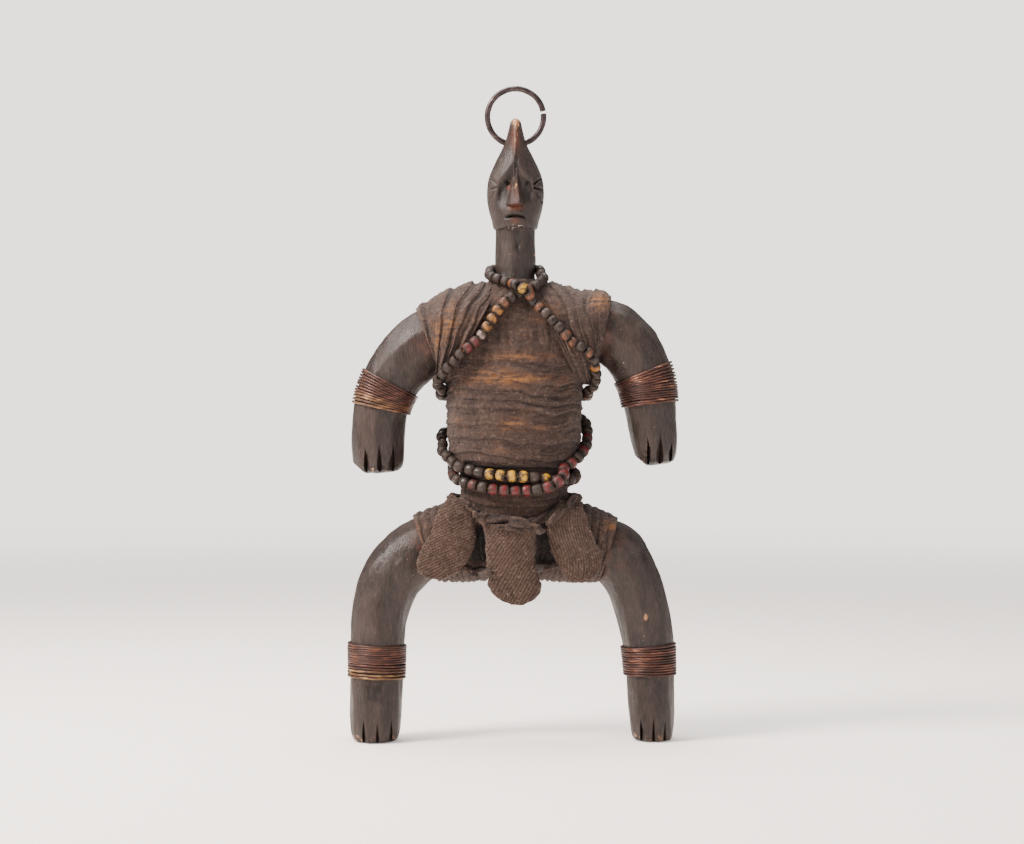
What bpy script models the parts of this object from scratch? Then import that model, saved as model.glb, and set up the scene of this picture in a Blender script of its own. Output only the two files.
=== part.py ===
"""A namji doll: a carved wooden figure wrapped in cloth strips and dressed with beads, wire and flaps.

The doll stands on its soles at z = 0, with its crest 300 mm up, and faces -Y. Right and left are the
doll's own, so its right side lies at -X. The figure is one carving. Round it go a torso wrapping, a
wrapping on each shoulder and one on the hips, three strings of beads, a rag belt with three woven
flaps, a wire winding on each wrist and ankle, and an iron ring through the crest.

Free forms are written in shares of the figure's height: one share is a three-hundredth of it, which
is 1 mm at the real size. Thicknesses, bead and wire sizes and gaps are sizes of their own.
"""

import math

import bmesh
import bpy
from mathutils import Vector
from mathutils.bvhtree import BVHTree

MM = 0.001

FIGURE_HEIGHT = 300.0 * MM
SHARE = FIGURE_HEIGHT / 300.0
FIT_GAP = 0.3 * MM

TORSO_CLOTH = 3.9 * MM
SHOULDER_CLOTH = 1.9 * MM
ROLL_CLOTH = 4.2 * MM
HIP_CLOTH = 1.8 * MM

RING_DIAMETER = 30.2 * MM
RING_WIRE = 2.9 * MM
RING_OPENING = 1.3 * MM
RING_OPENING_ANGLE = math.radians(9.0)
RING_BORE_SLACK = 0.4 * MM

CHEST_BEAD_DIAMETER = 5.3 * MM
CHEST_BEAD_LENGTH = 4.7 * MM
WAIST_BEAD_DIAMETER = 5.8 * MM
WAIST_BEAD_LENGTH = 5.4 * MM
BEAD_SIDES = 5
THREAD_SHARE = 0.45

WIRE_DIAMETER = 1.3 * MM
BELT_DIAMETER = 3.6 * MM
FLAP_THICKNESS = 2.2 * MM

TRUNK_ANGLES = (-90, -70, -52, -38, -26, -16, -8, 0, 8, 16, 26, 38, 52, 70, 90, 118, 150, 180, 210, 242)
LIMB_SIDES = 12

# The trunk, in shares: height, half width, depth in front, depth behind, and how square its section is
# (2 is an ellipse, less is a ridge front and back). The head starts at the jaw.
TRUNK = (
    (78.5, 14.0, 9.5, 9.5, 2.2),
    (83.0, 23.5, 14.5, 14.5, 2.2),
    (94.0, 26.0, 16.0, 16.0, 2.2),
    (117.0, 21.5, 16.5, 16.5, 2.2),
    (139.0, 27.0, 20.5, 18.8, 2.2),
    (158.0, 28.5, 22.0, 19.5, 2.2),
    (182.0, 29.3, 19.5, 18.7, 2.2),
    (201.0, 30.5, 17.5, 17.5, 2.2),
    (210.0, 27.5, 15.5, 15.5, 2.1),
    (216.0, 17.0, 12.0, 12.0, 2.0),
    (221.0, 10.4, 10.4, 10.4, 2.0),
    (232.0, 9.8, 9.8, 9.8, 2.0),
    (246.2, 9.5, 9.5, 9.5, 2.0),
    (246.6, 10.4, 11.4, 10.0, 2.0),
    (250.2, 11.3, 12.2, 11.4, 2.0),
    (255.3, 12.7, 12.3, 13.0, 1.95),
    (260.5, 13.6, 12.4, 14.2, 1.9),
    (265.6, 13.7, 12.5, 15.0, 1.85),
    (270.8, 13.0, 12.4, 15.0, 1.75),
    (276.0, 11.1, 11.6, 14.0, 1.6),
    (281.2, 8.6, 10.4, 12.4, 1.5),
    (286.3, 5.9, 9.0, 10.4, 1.45),
    (290.2, 4.4, 7.8, 8.8, 1.5),
    (295.0, 3.2, 6.0, 7.0, 1.6),
    (298.4, 2.4, 4.0, 4.8, 1.8),
    (300.0, 1.0, 1.8, 2.2, 2.0),
)
CORE_HEIGHTS = tuple(knot[0] for knot in TRUNK[:13])
FACE_HEIGHTS = (252.6, 257.6, 259.2, 263.0, 268.2, 273.2, 278.6)
HEAD_START = 246.4
HEAD_CENTRE_X = 0.6

# Limbs, in shares: x, y, z, half width and half depth at each knot. The second knot is the cloth's edge.
RIGHT_ARM = (
    (-14.0, 0.0, 197.0, 15.0, 14.0),
    (-40.6, 0.0, 192.3, 15.9, 15.2),
    (-53.7, -0.5, 181.5, 15.0, 14.6),
    (-60.5, -1.0, 171.0, 13.9, 13.9),
    (-64.3, -1.4, 160.2, 13.3, 13.4),
    (-65.8, -1.6, 145.4, 13.0, 12.6),
    (-65.6, -1.6, 134.5, 12.3, 11.2),
    (-65.4, -1.6, 130.4, 10.6, 9.4),
    (-65.3, -1.6, 129.5, 8.8, 7.8),
)
LEFT_ARM = (
    (14.0, 0.0, 200.0, 15.0, 14.0),
    (42.7, 0.0, 197.6, 15.3, 15.0),
    (52.3, -0.4, 191.9, 15.1, 14.8),
    (58.2, -0.7, 184.9, 14.6, 14.4),
    (63.5, -1.0, 173.8, 13.6, 13.8),
    (65.5, -1.2, 163.3, 12.9, 13.2),
    (67.2, -1.4, 149.3, 11.7, 12.2),
    (68.3, -1.6, 139.0, 10.4, 10.8),
    (68.6, -1.6, 134.4, 8.8, 8.8),
    (68.6, -1.6, 133.3, 7.2, 7.0),
)
RIGHT_LEG = (
    (-12.0, 0.0, 99.0, 15.0, 14.0),
    (-42.3, 0.0, 92.5, 15.3, 14.6),
    (-55.4, -0.8, 82.5, 15.2, 14.8),
    (-61.5, -1.5, 72.9, 14.5, 14.4),
    (-65.0, -2.4, 59.8, 13.6, 13.9),
    (-66.2, -3.2, 47.4, 13.1, 13.6),
    (-66.3, -3.8, 36.2, 12.9, 13.7),
    (-66.6, -4.6, 19.3, 12.7, 14.8),
    (-66.8, -5.0, 7.0, 12.2, 15.4),
    (-67.0, -5.0, 1.0, 11.2, 14.6),
    (-67.0, -5.0, -3.0, 10.4, 13.8),
)
LEFT_LEG = (
    (12.0, 0.0, 97.0, 15.0, 14.0),
    (44.6, 0.0, 91.6, 14.6, 14.6),
    (52.0, 0.0, 84.8, 14.4, 14.8),
    (57.2, 0.0, 76.2, 13.6, 14.4),
    (61.6, -0.2, 63.8, 13.1, 13.8),
    (64.4, -0.4, 49.0, 12.5, 13.4),
    (65.5, -0.6, 35.0, 11.8, 13.4),
    (65.9, -1.0, 21.0, 11.4, 14.2),
    (66.5, -1.2, 9.0, 10.8, 14.6),
    (66.9, -1.2, 1.0, 9.9, 13.8),
    (66.9, -1.2, -3.0, 9.2, 13.0),
)

# Where each hand's and foot's V cuts start, in shares: x, top height and half width at the tip.
RIGHT_HAND_CUTS = ((-71.2, 138.5, 1.3), (-64.6, 139.5, 1.5), (-58.4, 140.5, 1.5))
LEFT_HAND_CUTS = ((64.4, 147.5, 0.8), (70.0, 145.5, 2.0), (75.4, 141.0, 1.2))
RIGHT_FOOT_CUTS = ((-71.8, 10.5, 1.5), (-65.2, 10.0, 1.5), (-58.9, 10.5, 1.6))
LEFT_FOOT_CUTS = ((61.0, 12.0, 1.5), (66.6, 11.0, 1.4), (72.2, 10.5, 1.6))
CUT_DEPTH = 4.2
CUT_OVERRUN = 3.0

CLOTH_EDGE = 0.9

# Carving on the head, in shares.
NOSE_TOP = 276.0
BROW_TOP = 278.6
BROW_SLOPE = 1.15
HOLLOW_HALF_WIDTH = 9.8
NOSE_BASE = 258.9
NOSE_HALF_WIDTHS = (1.0, 4.9)
NOSE_RISES = (0.6, 3.6)
HOLLOW_DEPTH = 2.7
MOUTH_HEIGHT = 253.6
MOUTH_HALF_WIDTH = 4.9
MOUTH_OPENING = 1.3
MOUTH_DEPTH = 1.5
EYE_X = 4.9
EYE_HEIGHT = 268.4
EYE_RADIUS = 1.0
TEMPLE_SCARS = (((9.6, 269.4), (12.0, 272.0)), ((9.8, 266.9), (13.2, 266.9)), ((10.8, 264.6), (13.2, 261.2)))
TEMPLE_WIDTH = 0.9
TEMPLE_DEPTH = 0.9
THROAT_PIT = (2.2, 237.2, 1.2)
RING_BORE_DROP = 12.3
RING_PLANE = 2.6

# Bead strings and the belt, in degrees round the body from its front towards its left, and shares of
# height. The chest string goes twice round: once over its right shoulder and once over its left.
CHEST_ROUTE = (
    (-90, 226.0), (-42, 222.6), (-4, 219.2), (11, 215.8), (20, 211.8), (27, 208.0), (33, 203.8),
    (38, 199.2), (43, 194.6), (50, 189.6), (59, 183.8), (69, 176.0), (80, 169.0), (92, 166.2), (112, 166.5),
    (145, 172.0), (180, 178.0), (215, 172.0), (248, 166.5), (268, 166.2), (283, 169.0), (299, 176.5),
    (311, 183.8), (319, 189.4), (325, 193.8), (331, 198.4), (337, 203.2), (344, 207.8), (351, 210.8),
    (0, 213.0), (12, 215.2), (30, 217.9), (50, 221.0), (86, 226.0), (130, 227.5), (180, 228.0), (230, 227.5),
)
YELLOW_ROUTE = (
    (-98, 147.0), (-88, 142.0), (-76, 137.4), (-66, 134.2), (-55, 131.4), (-44, 129.6), (-30, 128.6),
    (-15, 127.8), (0, 127.4), (15, 127.0), (28, 126.4), (42, 125.2), (56, 125.0), (74, 125.6),
    (92, 127.5), (120, 131.0), (150, 136.0), (180, 141.0), (210, 145.5), (240, 148.0),
)
RED_ROUTE = (
    (-84, 128.4), (-70, 126.0), (-58, 124.6), (-46, 123.2), (-32, 121.8), (-16, 120.8), (0, 120.4),
    (14, 120.6), (27, 121.6), (38, 124.8), (48, 129.4), (60, 133.8), (76, 139.6), (90, 146.0),
    (104, 153.0), (125, 155.5), (150, 151.0), (180, 144.5), (210, 138.0), (245, 132.0),
)
BELT_ROUTE = (
    (0, 104.0), (30, 106.5), (50, 111.0), (72, 115.2), (95, 116.8), (140, 115.5), (180, 115.0),
    (220, 115.5), (265, 116.8), (288, 115.2), (310, 111.0), (330, 106.5),
)

# Flaps, in shares: x, z and half width down the middle. The last row is the rounded tip. The side
# flaps lean outwards, and stand about this far from the body's middle.
RIGHT_FLAP = (
    (-27.0, 116.8, 5.4), (-27.6, 108.0, 8.4), (-28.8, 99.0, 11.0), (-32.4, 90.6, 12.7),
    (-35.0, 84.4, 11.2), (-36.0, 79.6, 7.0), (-36.2, 78.0, 3.0),
)
MIDDLE_FLAP = (
    (-1.8, 104.6, 12.6), (-1.9, 95.0, 11.8), (-1.6, 86.5, 11.5), (-0.4, 79.6, 12.2),
    (0.5, 73.6, 12.4), (1.1, 68.6, 9.4), (1.4, 66.0, 4.2),
)
LEFT_FLAP = (
    (26.0, 115.6, 4.6), (24.6, 106.6, 9.2), (26.6, 97.6, 11.2), (29.6, 89.6, 11.6),
    (30.6, 82.6, 9.8), (30.2, 78.2, 6.0), (29.8, 76.8, 2.6),
)
FLAP_COLUMNS = 5
FLAP_PROBES = 20
FLAP_STEPS = 4
FLAP_LEAN = 0.35
FLAP_STANDOFF = 18.0


def clear_scene():
    """Removes whatever the file opened with."""
    for obj in list(bpy.data.objects):
        bpy.data.objects.remove(obj)


def blend_at(knots, at):
    """The smooth values between knots at one place, where each knot starts with its place."""
    last = len(knots) - 2
    span = next((i for i in range(last + 1) if at <= knots[i + 1][0]), last)
    before, start, end, after = (knots[max(0, min(last + 1, span + k))] for k in (-1, 0, 1, 2))
    width = end[0] - start[0]
    t = min(1.0, max(0.0, (at - start[0]) / width))
    values = []
    for k in range(1, len(start)):
        slope_in = (end[k] - before[k]) / (end[0] - before[0]) * width
        slope_out = (after[k] - start[k]) / (after[0] - start[0]) * width
        values.append(
            (2 * t**3 - 3 * t**2 + 1) * start[k] + (t**3 - 2 * t**2 + t) * slope_in
            + (3 * t**2 - 2 * t**3) * end[k] + (t**3 - t**2) * slope_out
        )
    return values


def smooth_path(knots, steps, closed=False):
    """Tuples on one smooth curve through the knots, with a number of steps for each span."""
    count = len(knots)
    points = []
    for i in range(count if closed else count - 1):
        around = [knots[k % count] if closed else knots[max(0, min(count - 1, k))] for k in range(i - 1, i + 3)]
        for step in range(steps):
            t = step / steps
            points.append(tuple(
                0.5 * (2 * b + (c - a) * t + (2 * a - 5 * b + 4 * c - d) * t**2 + (3 * b - a - 3 * c + d) * t**3)
                for a, b, c, d in zip(*around)
            ))
    if not closed:
        points.append(tuple(knots[-1]))
    return points


def mesh_object(name, vertices, faces):
    """An object whose faces all point outwards."""
    mesh = bpy.data.meshes.new(name)
    mesh.from_pydata(vertices, [], faces)
    shape = bmesh.new()
    shape.from_mesh(mesh)
    bmesh.ops.recalc_face_normals(shape, faces=shape.faces)
    shape.to_mesh(mesh)
    shape.free()
    obj = bpy.data.objects.new(name, mesh)
    bpy.context.scene.collection.objects.link(obj)
    return obj


def skin_rings(name, rings, closed=False):
    """One closed body through rings of equal counts, with flat ends unless it closes on itself."""
    sides = len(rings[0])
    vertices = [point for ring in rings for point in ring]
    faces = []
    for i in range(len(rings) if closed else len(rings) - 1):
        here = i * sides
        there = (i + 1) % len(rings) * sides
        for k in range(sides):
            after = (k + 1) % sides
            faces += [(here + k, here + after, there + after), (here + k, there + after, there + k)]
    if not closed:
        faces.append(tuple(range(sides - 1, -1, -1)))
        faces.append(tuple(range(len(vertices) - sides, len(vertices))))
    return mesh_object(name, vertices, faces)


def apply_boolean(target, other, operation):
    """Joins or cuts target with other, which is used up."""
    modifier = target.modifiers.new(operation, "BOOLEAN")
    modifier.operation = operation
    modifier.solver = "EXACT"
    modifier.object = other
    evaluated = target.evaluated_get(bpy.context.evaluated_depsgraph_get())
    joined = bpy.data.meshes.new_from_object(evaluated)
    target.modifiers.remove(modifier)
    target.data = joined
    bpy.data.objects.remove(other)


def finish(obj, material, sharp_degrees=40.0):
    """Gives a piece its material, and shades its round faces smooth."""
    obj.data.materials.clear()
    obj.data.materials.append(material)
    obj.data.shade_smooth()
    obj.data.set_sharp_from_angle(angle=math.radians(sharp_degrees))
    return obj


def material(name, colour, roughness, metallic=0.0):
    """A plain finish."""
    made = bpy.data.materials.new(name)
    made.use_nodes = True
    shader = made.node_tree.nodes["Principled BSDF"]
    shader.inputs["Base Color"].default_value = (*colour, 1.0)
    shader.inputs["Roughness"].default_value = roughness
    shader.inputs["Metallic"].default_value = metallic
    return made


def section_point(angle, half_width, front, back, squareness):
    """A point of an egg-shaped section, with angle 0 at the front and a quarter turn at +X."""
    across = math.sin(angle)
    along = math.cos(angle)
    x = math.copysign(abs(across) ** (2.0 / squareness), across) * half_width
    y = -math.copysign(abs(along) ** (2.0 / squareness), along) * (front if along > 0 else back)
    return x, y


def ramp(value, low, high):
    """0 below low and 1 above high, smooth between."""
    t = min(1.0, max(0.0, (value - low) / (high - low)))
    return t * t * (3 - 2 * t)


def face_relief(x, z):
    """How far the face is carved back at x and z, in shares. The nose stands forward, so it is below 0."""
    across = abs(x)
    down = min(1.0, max(0.0, (NOSE_TOP - z) / (NOSE_TOP - NOSE_BASE)))
    nose_half_width = NOSE_HALF_WIDTHS[0] + (NOSE_HALF_WIDTHS[1] - NOSE_HALF_WIDTHS[0]) * down
    rise = NOSE_RISES[0] + (NOSE_RISES[1] - NOSE_RISES[0]) * down
    nose = rise * max(0.0, 1.0 - across / nose_half_width) * ramp(z, NOSE_BASE - 1.2, NOSE_BASE + 0.2)
    nose *= 1.0 - ramp(z, NOSE_TOP - 0.5, NOSE_TOP + 4.0)
    brow = BROW_TOP - BROW_SLOPE * across
    hollow = HOLLOW_DEPTH * ramp(brow - z, 0.0, 1.8) * ramp(z, NOSE_BASE - 3.0, NOSE_BASE + 3.6)
    hollow *= 1.0 - ramp(across, HOLLOW_HALF_WIDTH - 2.0, HOLLOW_HALF_WIDTH)
    return hollow - nose


def trunk_ring(z, grow=0.0):
    """The trunk's ring at a height in shares, grown outwards by a length in metres."""
    half_width, front, back, squareness = blend_at(TRUNK, z)
    on_head = z > HEAD_START
    centre = HEAD_CENTRE_X * ramp(z, 216.0, 232.0)
    ring = []
    for degrees in TRUNK_ANGLES:
        angle = math.radians(degrees)
        x, y = section_point(angle, half_width, front, back, squareness)
        if on_head and y < 0:
            y += face_relief(x, z) * ramp(-y, 1.0, 5.0)
        gx, gy = section_point(angle, grow, grow, grow, 2.0)
        ring.append(Vector(((x + centre) * SHARE + gx, y * SHARE + gy, z * SHARE)))
    return ring


def limb_ring(knot, before, after, grow=0.0, sides=LIMB_SIDES):
    """A limb's ring at a knot, square to the line from the knot before to the knot after."""
    x, y, z, half_width, half_depth = knot
    along = Vector((after[0] - before[0], 0.0, after[2] - before[2])).normalized()
    side = Vector((-along.z, 0.0, along.x))
    centre = Vector((x, y, z)) * SHARE
    ring = []
    for k in range(sides):
        angle = 2 * math.pi * k / sides
        ring.append(
            centre
            + side * (half_width * SHARE + grow) * math.cos(angle)
            + Vector((0.0, (half_depth * SHARE + grow) * math.sin(angle), 0.0))
        )
    return ring


def limb_rings(knots, grow=0.0):
    """A limb's rings at its knots, from inside the trunk to the tip."""
    last = len(knots) - 1
    return [limb_ring(knots[i], knots[max(0, i - 1)], knots[min(last, i + 1)], grow) for i in range(last + 1)]


def body(name, heights, grow=0.0):
    """The trunk at these heights with its four limbs, one solid, grown outwards by a length."""
    trunk = skin_rings(name, [trunk_ring(z, grow) for z in sorted(heights)])
    for knots in (RIGHT_ARM, LEFT_ARM, RIGHT_LEG, LEFT_LEG):
        apply_boolean(trunk, skin_rings("limb", limb_rings(knots, grow)), "UNION")
    return trunk


def wedges(corner_sets):
    """One cutter of separate wedges, with four corners each, or six that form a sharp-edged bar."""
    vertices, faces = [], []
    for corners in corner_sets:
        start = len(vertices)
        vertices += [Vector(c) * SHARE for c in corners]
        if len(corners) == 4:
            sides = [(0, 1, 2), (0, 2, 3), (0, 3, 1), (1, 3, 2)]
        else:
            sides = [(0, 1, 2), (3, 5, 4), (0, 3, 4), (0, 4, 1), (1, 4, 5), (1, 5, 2), (2, 5, 3), (2, 3, 0)]
        faces += [tuple(start + k for k in side) for side in sides]
    return mesh_object("cutter", vertices, faces)


def digit_cuts(knots, cuts):
    """The V notches that part the fingers or toes, in the front of a limb's end."""
    x_end, y_end, z_end, half_width, half_depth = knots[-2]
    notches = []
    for x, top, tip_half_width in cuts:
        aside = min(0.92, abs(x - x_end) / half_width)
        face = y_end - half_depth * math.sqrt(1.0 - aside * aside)
        below = min(z_end, knots[-1][2]) - CUT_OVERRUN
        ahead = face - CUT_OVERRUN
        spread = tip_half_width * (face + CUT_DEPTH - ahead) / CUT_DEPTH
        notches.append((
            (x, face - 0.6, top),
            (x - spread, ahead, below),
            (x + spread, ahead, below),
            (x, face + CUT_DEPTH, below),
        ))
    return notches


def head_front(x, z):
    """The y of the head's front at x and z, in shares."""
    half_width, front, _, squareness = blend_at(TRUNK, z)
    aside = min(0.985, abs(x) / half_width)
    y = -front * (1.0 - aside**squareness) ** (1.0 / squareness)
    return y + face_relief(x, z) * ramp(-y, 1.0, 5.0)


def head_cuts():
    """The mouth, the eyes, the scar fans on the temples and the throat pit."""
    lip = head_front(0.0, MOUTH_HEIGHT) - 1.0
    half = MOUTH_OPENING / 2
    cuts = [[
        (HEAD_CENTRE_X + side * MOUTH_HALF_WIDTH * share, y, MOUTH_HEIGHT + up)
        for side in (-1, 1)
        for share, y, up in ((1.0, lip, half), (1.0, lip, -half), (0.8, lip + 1.0 + MOUTH_DEPTH, 0.0))
    ]]
    eye = head_front(EYE_X, EYE_HEIGHT)
    pits = [(HEAD_CENTRE_X + side * EYE_X, eye, EYE_HEIGHT, EYE_RADIUS, 1.2) for side in (-1, 1)]
    pits.append((THROAT_PIT[0], -9.7, THROAT_PIT[1], THROAT_PIT[2], 2.0))
    for x, y, z, radius, depth in pits:
        cuts.append([
            (x, y - 0.9, z + 2.0 * radius),
            (x - 1.9 * radius, y - 0.9, z - 1.4 * radius),
            (x + 1.9 * radius, y - 0.9, z - 1.4 * radius),
            (x, y + depth, z),
        ])
    for side in (-1, 1):
        for start, end in TEMPLE_SCARS:
            run = (Vector(end) - Vector(start)).normalized()
            wide = Vector((-side * run.y, 0.0, run.x)) * TEMPLE_WIDTH
            bar = []
            for x, z in (start, end):
                surface = head_front(x, z)
                inward = Vector((-side * x, -surface, 0.0)).normalized()
                at = Vector((HEAD_CENTRE_X + side * x, surface, z))
                bar += [at - inward - wide, at - inward + wide, at + inward * TEMPLE_DEPTH]
            cuts.append(bar)
    return cuts


def ring_bar(name, bar_radius, opening, segments=22, sides=8):
    """The round bar of the crest's ring, open by a length at its side, or closed."""
    radius = (RING_DIAMETER - RING_WIRE) / 2
    crest = TRUNK[-1][0] - RING_BORE_DROP
    centre = Vector((HEAD_CENTRE_X * SHARE, RING_PLANE * SHARE, crest * SHARE + radius))
    half_opening = opening / 2 / radius
    closed = opening == 0
    count = segments if closed else segments + 1
    rings = []
    for i in range(count):
        turn = RING_OPENING_ANGLE + half_opening + (2 * math.pi - 2 * half_opening) * i / segments
        out = Vector((math.cos(turn), 0.0, math.sin(turn)))
        rings.append([
            centre + out * (radius + bar_radius * math.cos(a)) + Vector((0.0, bar_radius * math.sin(a), 0.0))
            for a in (2 * math.pi * k / sides for k in range(sides))
        ])
    return skin_rings(name, rings, closed)


def floor_cutter():
    """A block below the soles."""
    reach = FIGURE_HEIGHT
    low, high = -reach, 0.0
    corners = [(x, y, z) for x in (-reach, reach) for y in (-reach, reach) for z in (low, high)]
    faces = [(0, 1, 3, 2), (4, 6, 7, 5), (0, 4, 5, 1), (2, 3, 7, 6), (0, 2, 6, 4), (1, 5, 7, 3)]
    return mesh_object("cutter", [Vector(c) for c in corners], faces)


def carved_figure(wood):
    """The whole wooden carving, one solid."""
    figure = body("carved_figure", tuple(knot[0] for knot in TRUNK) + FACE_HEIGHTS)
    apply_boolean(figure, floor_cutter(), "DIFFERENCE")
    notches = [
        notch
        for knots, cuts in (
            (RIGHT_ARM, RIGHT_HAND_CUTS),
            (LEFT_ARM, LEFT_HAND_CUTS),
            (RIGHT_LEG, RIGHT_FOOT_CUTS),
            (LEFT_LEG, LEFT_FOOT_CUTS),
        )
        for notch in digit_cuts(knots, cuts)
    ]
    apply_boolean(figure, wedges(notches + head_cuts()), "DIFFERENCE")
    apply_boolean(figure, ring_bar("cutter", RING_WIRE / 2 + RING_BORE_SLACK, 0.0), "DIFFERENCE")
    return finish(figure, wood)


def cloth_rings(levels, thickness):
    """Rings round the trunk, each at a height in shares with a share of the cloth's thickness."""
    return [trunk_ring(z, thickness * share) for z, share in levels]


def oval_ring(top, bottom, half_depth, grow, count=18):
    """An oval ring between a top and a bottom point in shares, grown outwards by a length."""
    high = Vector((top[0], 0.0, top[1]))
    low = Vector((bottom[0], 0.0, bottom[1]))
    centre = (high + low) / 2 * SHARE
    axis = (high - low).normalized()
    half_height = (high - low).length / 2 * SHARE + grow
    return [
        centre
        + axis * half_height * math.cos(a)
        + Vector((0.0, (half_depth * SHARE + grow) * math.sin(a), 0.0))
        for a in (2 * math.pi * k / count for k in range(count))
    ]


def edge_oval(knots):
    """The top, bottom and half depth of a limb's bare section just past its second knot."""
    before, knot, after = knots[:3]
    along = Vector((after[0] - before[0], after[2] - before[2])).normalized()
    side = Vector((-along.y, along.x))
    if side.y < 0:
        side.negate()
    centre = Vector((knot[0], knot[2])) + along * CLOTH_EDGE
    return centre + side * knot[3], centre - side * knot[3], knot[4]


TORSO_LEVELS = (
    (131.6, 0.35), (132.6, 0.75), (136.0, 1.0), (143.0, 1.06), (155.0, 1.04), (168.0, 1.0),
    (182.0, 1.0), (196.0, 0.95), (206.0, 0.9), (213.0, 0.9), (218.0, 0.8), (221.8, 0.55),
)
ROLL_LEVELS = (
    (80.2, 0.3), (84.0, 0.6), (92.0, 0.65), (101.0, 0.75), (108.0, 0.9), (114.0, 1.0), (120.0, 1.0),
    (126.0, 0.85), (130.6, 0.3),
)


def torso_shell(name, grow=0.0):
    """The outer form of the torso wrapping, with no hollow."""
    rings = [trunk_ring(z, TORSO_CLOTH * share + grow) for z, share in TORSO_LEVELS]
    if grow:
        rings[0] = [p - Vector((0.0, 0.0, grow)) for p in rings[0]]
        rings[-1] = [p + Vector((0.0, 0.0, grow)) for p in rings[-1]]
    return skin_rings(name, rings)


def shoulder_shell(name, knots, side):
    """The cloth wound over a shoulder, from beside the neck to the edge on the arm."""
    top, bottom, half_depth = edge_oval(knots)
    rings = [
        oval_ring((side * 7.5, 218.2), (side * 30.0, 173.6), 20.2, SHOULDER_CLOTH),
        oval_ring((side * 20.0, 218.6), (side * 35.0, 173.4), 20.6, SHOULDER_CLOTH),
        oval_ring((side * 33.0, 215.0), (side * 37.5, 174.6), 19.4, SHOULDER_CLOTH),
        oval_ring(
            (top.x - side * 5.0, top.y + 3.0), (bottom.x - side * 0.6, bottom.y - 0.8), half_depth + 2.0,
            SHOULDER_CLOTH * 0.8,
        ),
        oval_ring(top, bottom, half_depth, SHOULDER_CLOTH * 0.7),
    ]
    return skin_rings(name, rings)


def hip_shell(name, knots, side):
    """The cloth wound over a hip, from the loins to the edge on the thigh."""
    top, bottom, half_depth = edge_oval(knots)
    rings = [
        oval_ring((side * 9.0, 112.0), (side * 4.0, 80.6), 15.6, HIP_CLOTH),
        oval_ring((side * 22.0, 113.6), (side * 14.0, 78.6), 16.0, HIP_CLOTH),
        oval_ring((side * 34.0, 111.6), (side * 26.0, 77.6), 15.8, HIP_CLOTH),
        oval_ring(top, bottom, half_depth, HIP_CLOTH * 0.85),
    ]
    return skin_rings(name, rings)


def wrappings(cloth):
    """The torso, both shoulders and the hips, each a hollow cloth with the figure inside."""
    made = []
    for name, knots, side in (
        ("right_shoulder_wrapping", RIGHT_ARM, -1),
        ("left_shoulder_wrapping", LEFT_ARM, 1),
    ):
        shoulder = shoulder_shell(name, knots, side)
        apply_boolean(shoulder, torso_shell("cutter", FIT_GAP), "DIFFERENCE")
        made.append(shoulder)
    made.append(torso_shell("torso_wrapping"))
    hips = skin_rings("hip_wrapping", cloth_rings(ROLL_LEVELS, ROLL_CLOTH))
    for knots, side in ((RIGHT_LEG, -1), (LEFT_LEG, 1)):
        apply_boolean(hips, hip_shell("hip", knots, side), "UNION")
    made.append(hips)
    for piece in made:
        apply_boolean(piece, body("cutter", CORE_HEIGHTS, FIT_GAP), "DIFFERENCE")
        finish(piece, cloth)
    return made


def surface_tree(objects):
    """One search tree over the faces of several objects."""
    vertices, faces = [], []
    for obj in objects:
        start = len(vertices)
        vertices += [v.co.copy() for v in obj.data.vertices]
        faces += [[start + i for i in face.vertices] for face in obj.data.polygons]
    return BVHTree.FromPolygons(vertices, faces)


def seat(tree, bearing, height, clear, others=(), apart=0.0):
    """The place nearest the body's axis, on a bearing, that is clear of the cloth and of other points."""
    out = Vector((math.sin(bearing), -math.cos(bearing), 0.0))
    axis = Vector((0.0, 0.0, height))
    reach = 0.14 * FIGURE_HEIGHT
    for _ in range(200):
        place = axis + out * reach
        slack = tree.find_nearest(place)[3] - clear
        for other in others:
            slack = min(slack, (place - other).length - apart)
        if abs(slack) < 1e-6:
            break
        reach -= 0.7 * slack
    return place


def unwound(route):
    """A route whose bearings only grow, so that it can be smoothed."""
    turns, last, result = 0, route[0][0], []
    for bearing, height in route:
        if bearing + 360 * turns < last - 180:
            turns += 1
        last = bearing + 360 * turns
        result.append((last, height))
    return result


def laid_route(route, tree, radius, over=(), steps=4, crossing=0):
    """Places along a closed route on the cloth, a radius and a gap clear of it and over other strings.

    The places up to crossing knots of the route are laid last, over the rest of the same string.
    """
    knots = unwound(route)
    turn = 360 * round((knots[-1][0] - knots[0][0] + 180) / 360)
    wrapped = [knots[-1], *knots, knots[0], knots[1]]
    wrapped[0] = (knots[-1][0] - turn, knots[-1][1])
    wrapped[-2:] = [(knots[0][0] + turn, knots[0][1]), (knots[1][0] + turn, knots[1][1])]
    samples = smooth_path(wrapped, steps)[steps:-steps - 1]
    clear = radius + FIT_GAP
    apart = 2 * radius + FIT_GAP
    places = [None] * len(samples)
    upper = crossing * steps
    for i in [*range(upper, len(samples)), *range(upper)]:
        bearing, height = samples[i]
        below = [p for p in places[upper + 2 * steps:-2 * steps] if p] if i < upper else []
        places[i] = seat(tree, math.radians(bearing), height * SHARE, clear, [*over, *below], apart)
    return places


def even_places(places, length):
    """Places at half lengths round a closed line, for a whole number of lengths."""
    line = [Vector(p) for p in smooth_path([tuple(p) for p in places], 4, closed=True)]
    line.append(line[0])
    reach = [0.0]
    for a, b in zip(line, line[1:]):
        reach.append(reach[-1] + (b - a).length)
    count = 2 * round(reach[-1] / length)
    result, k = [], 0
    for i in range(count):
        at = reach[-1] * i / count
        while reach[k + 1] < at:
            k += 1
        result.append(line[k].lerp(line[k + 1], (at - reach[k]) / (reach[k + 1] - reach[k])))
    return result


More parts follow.
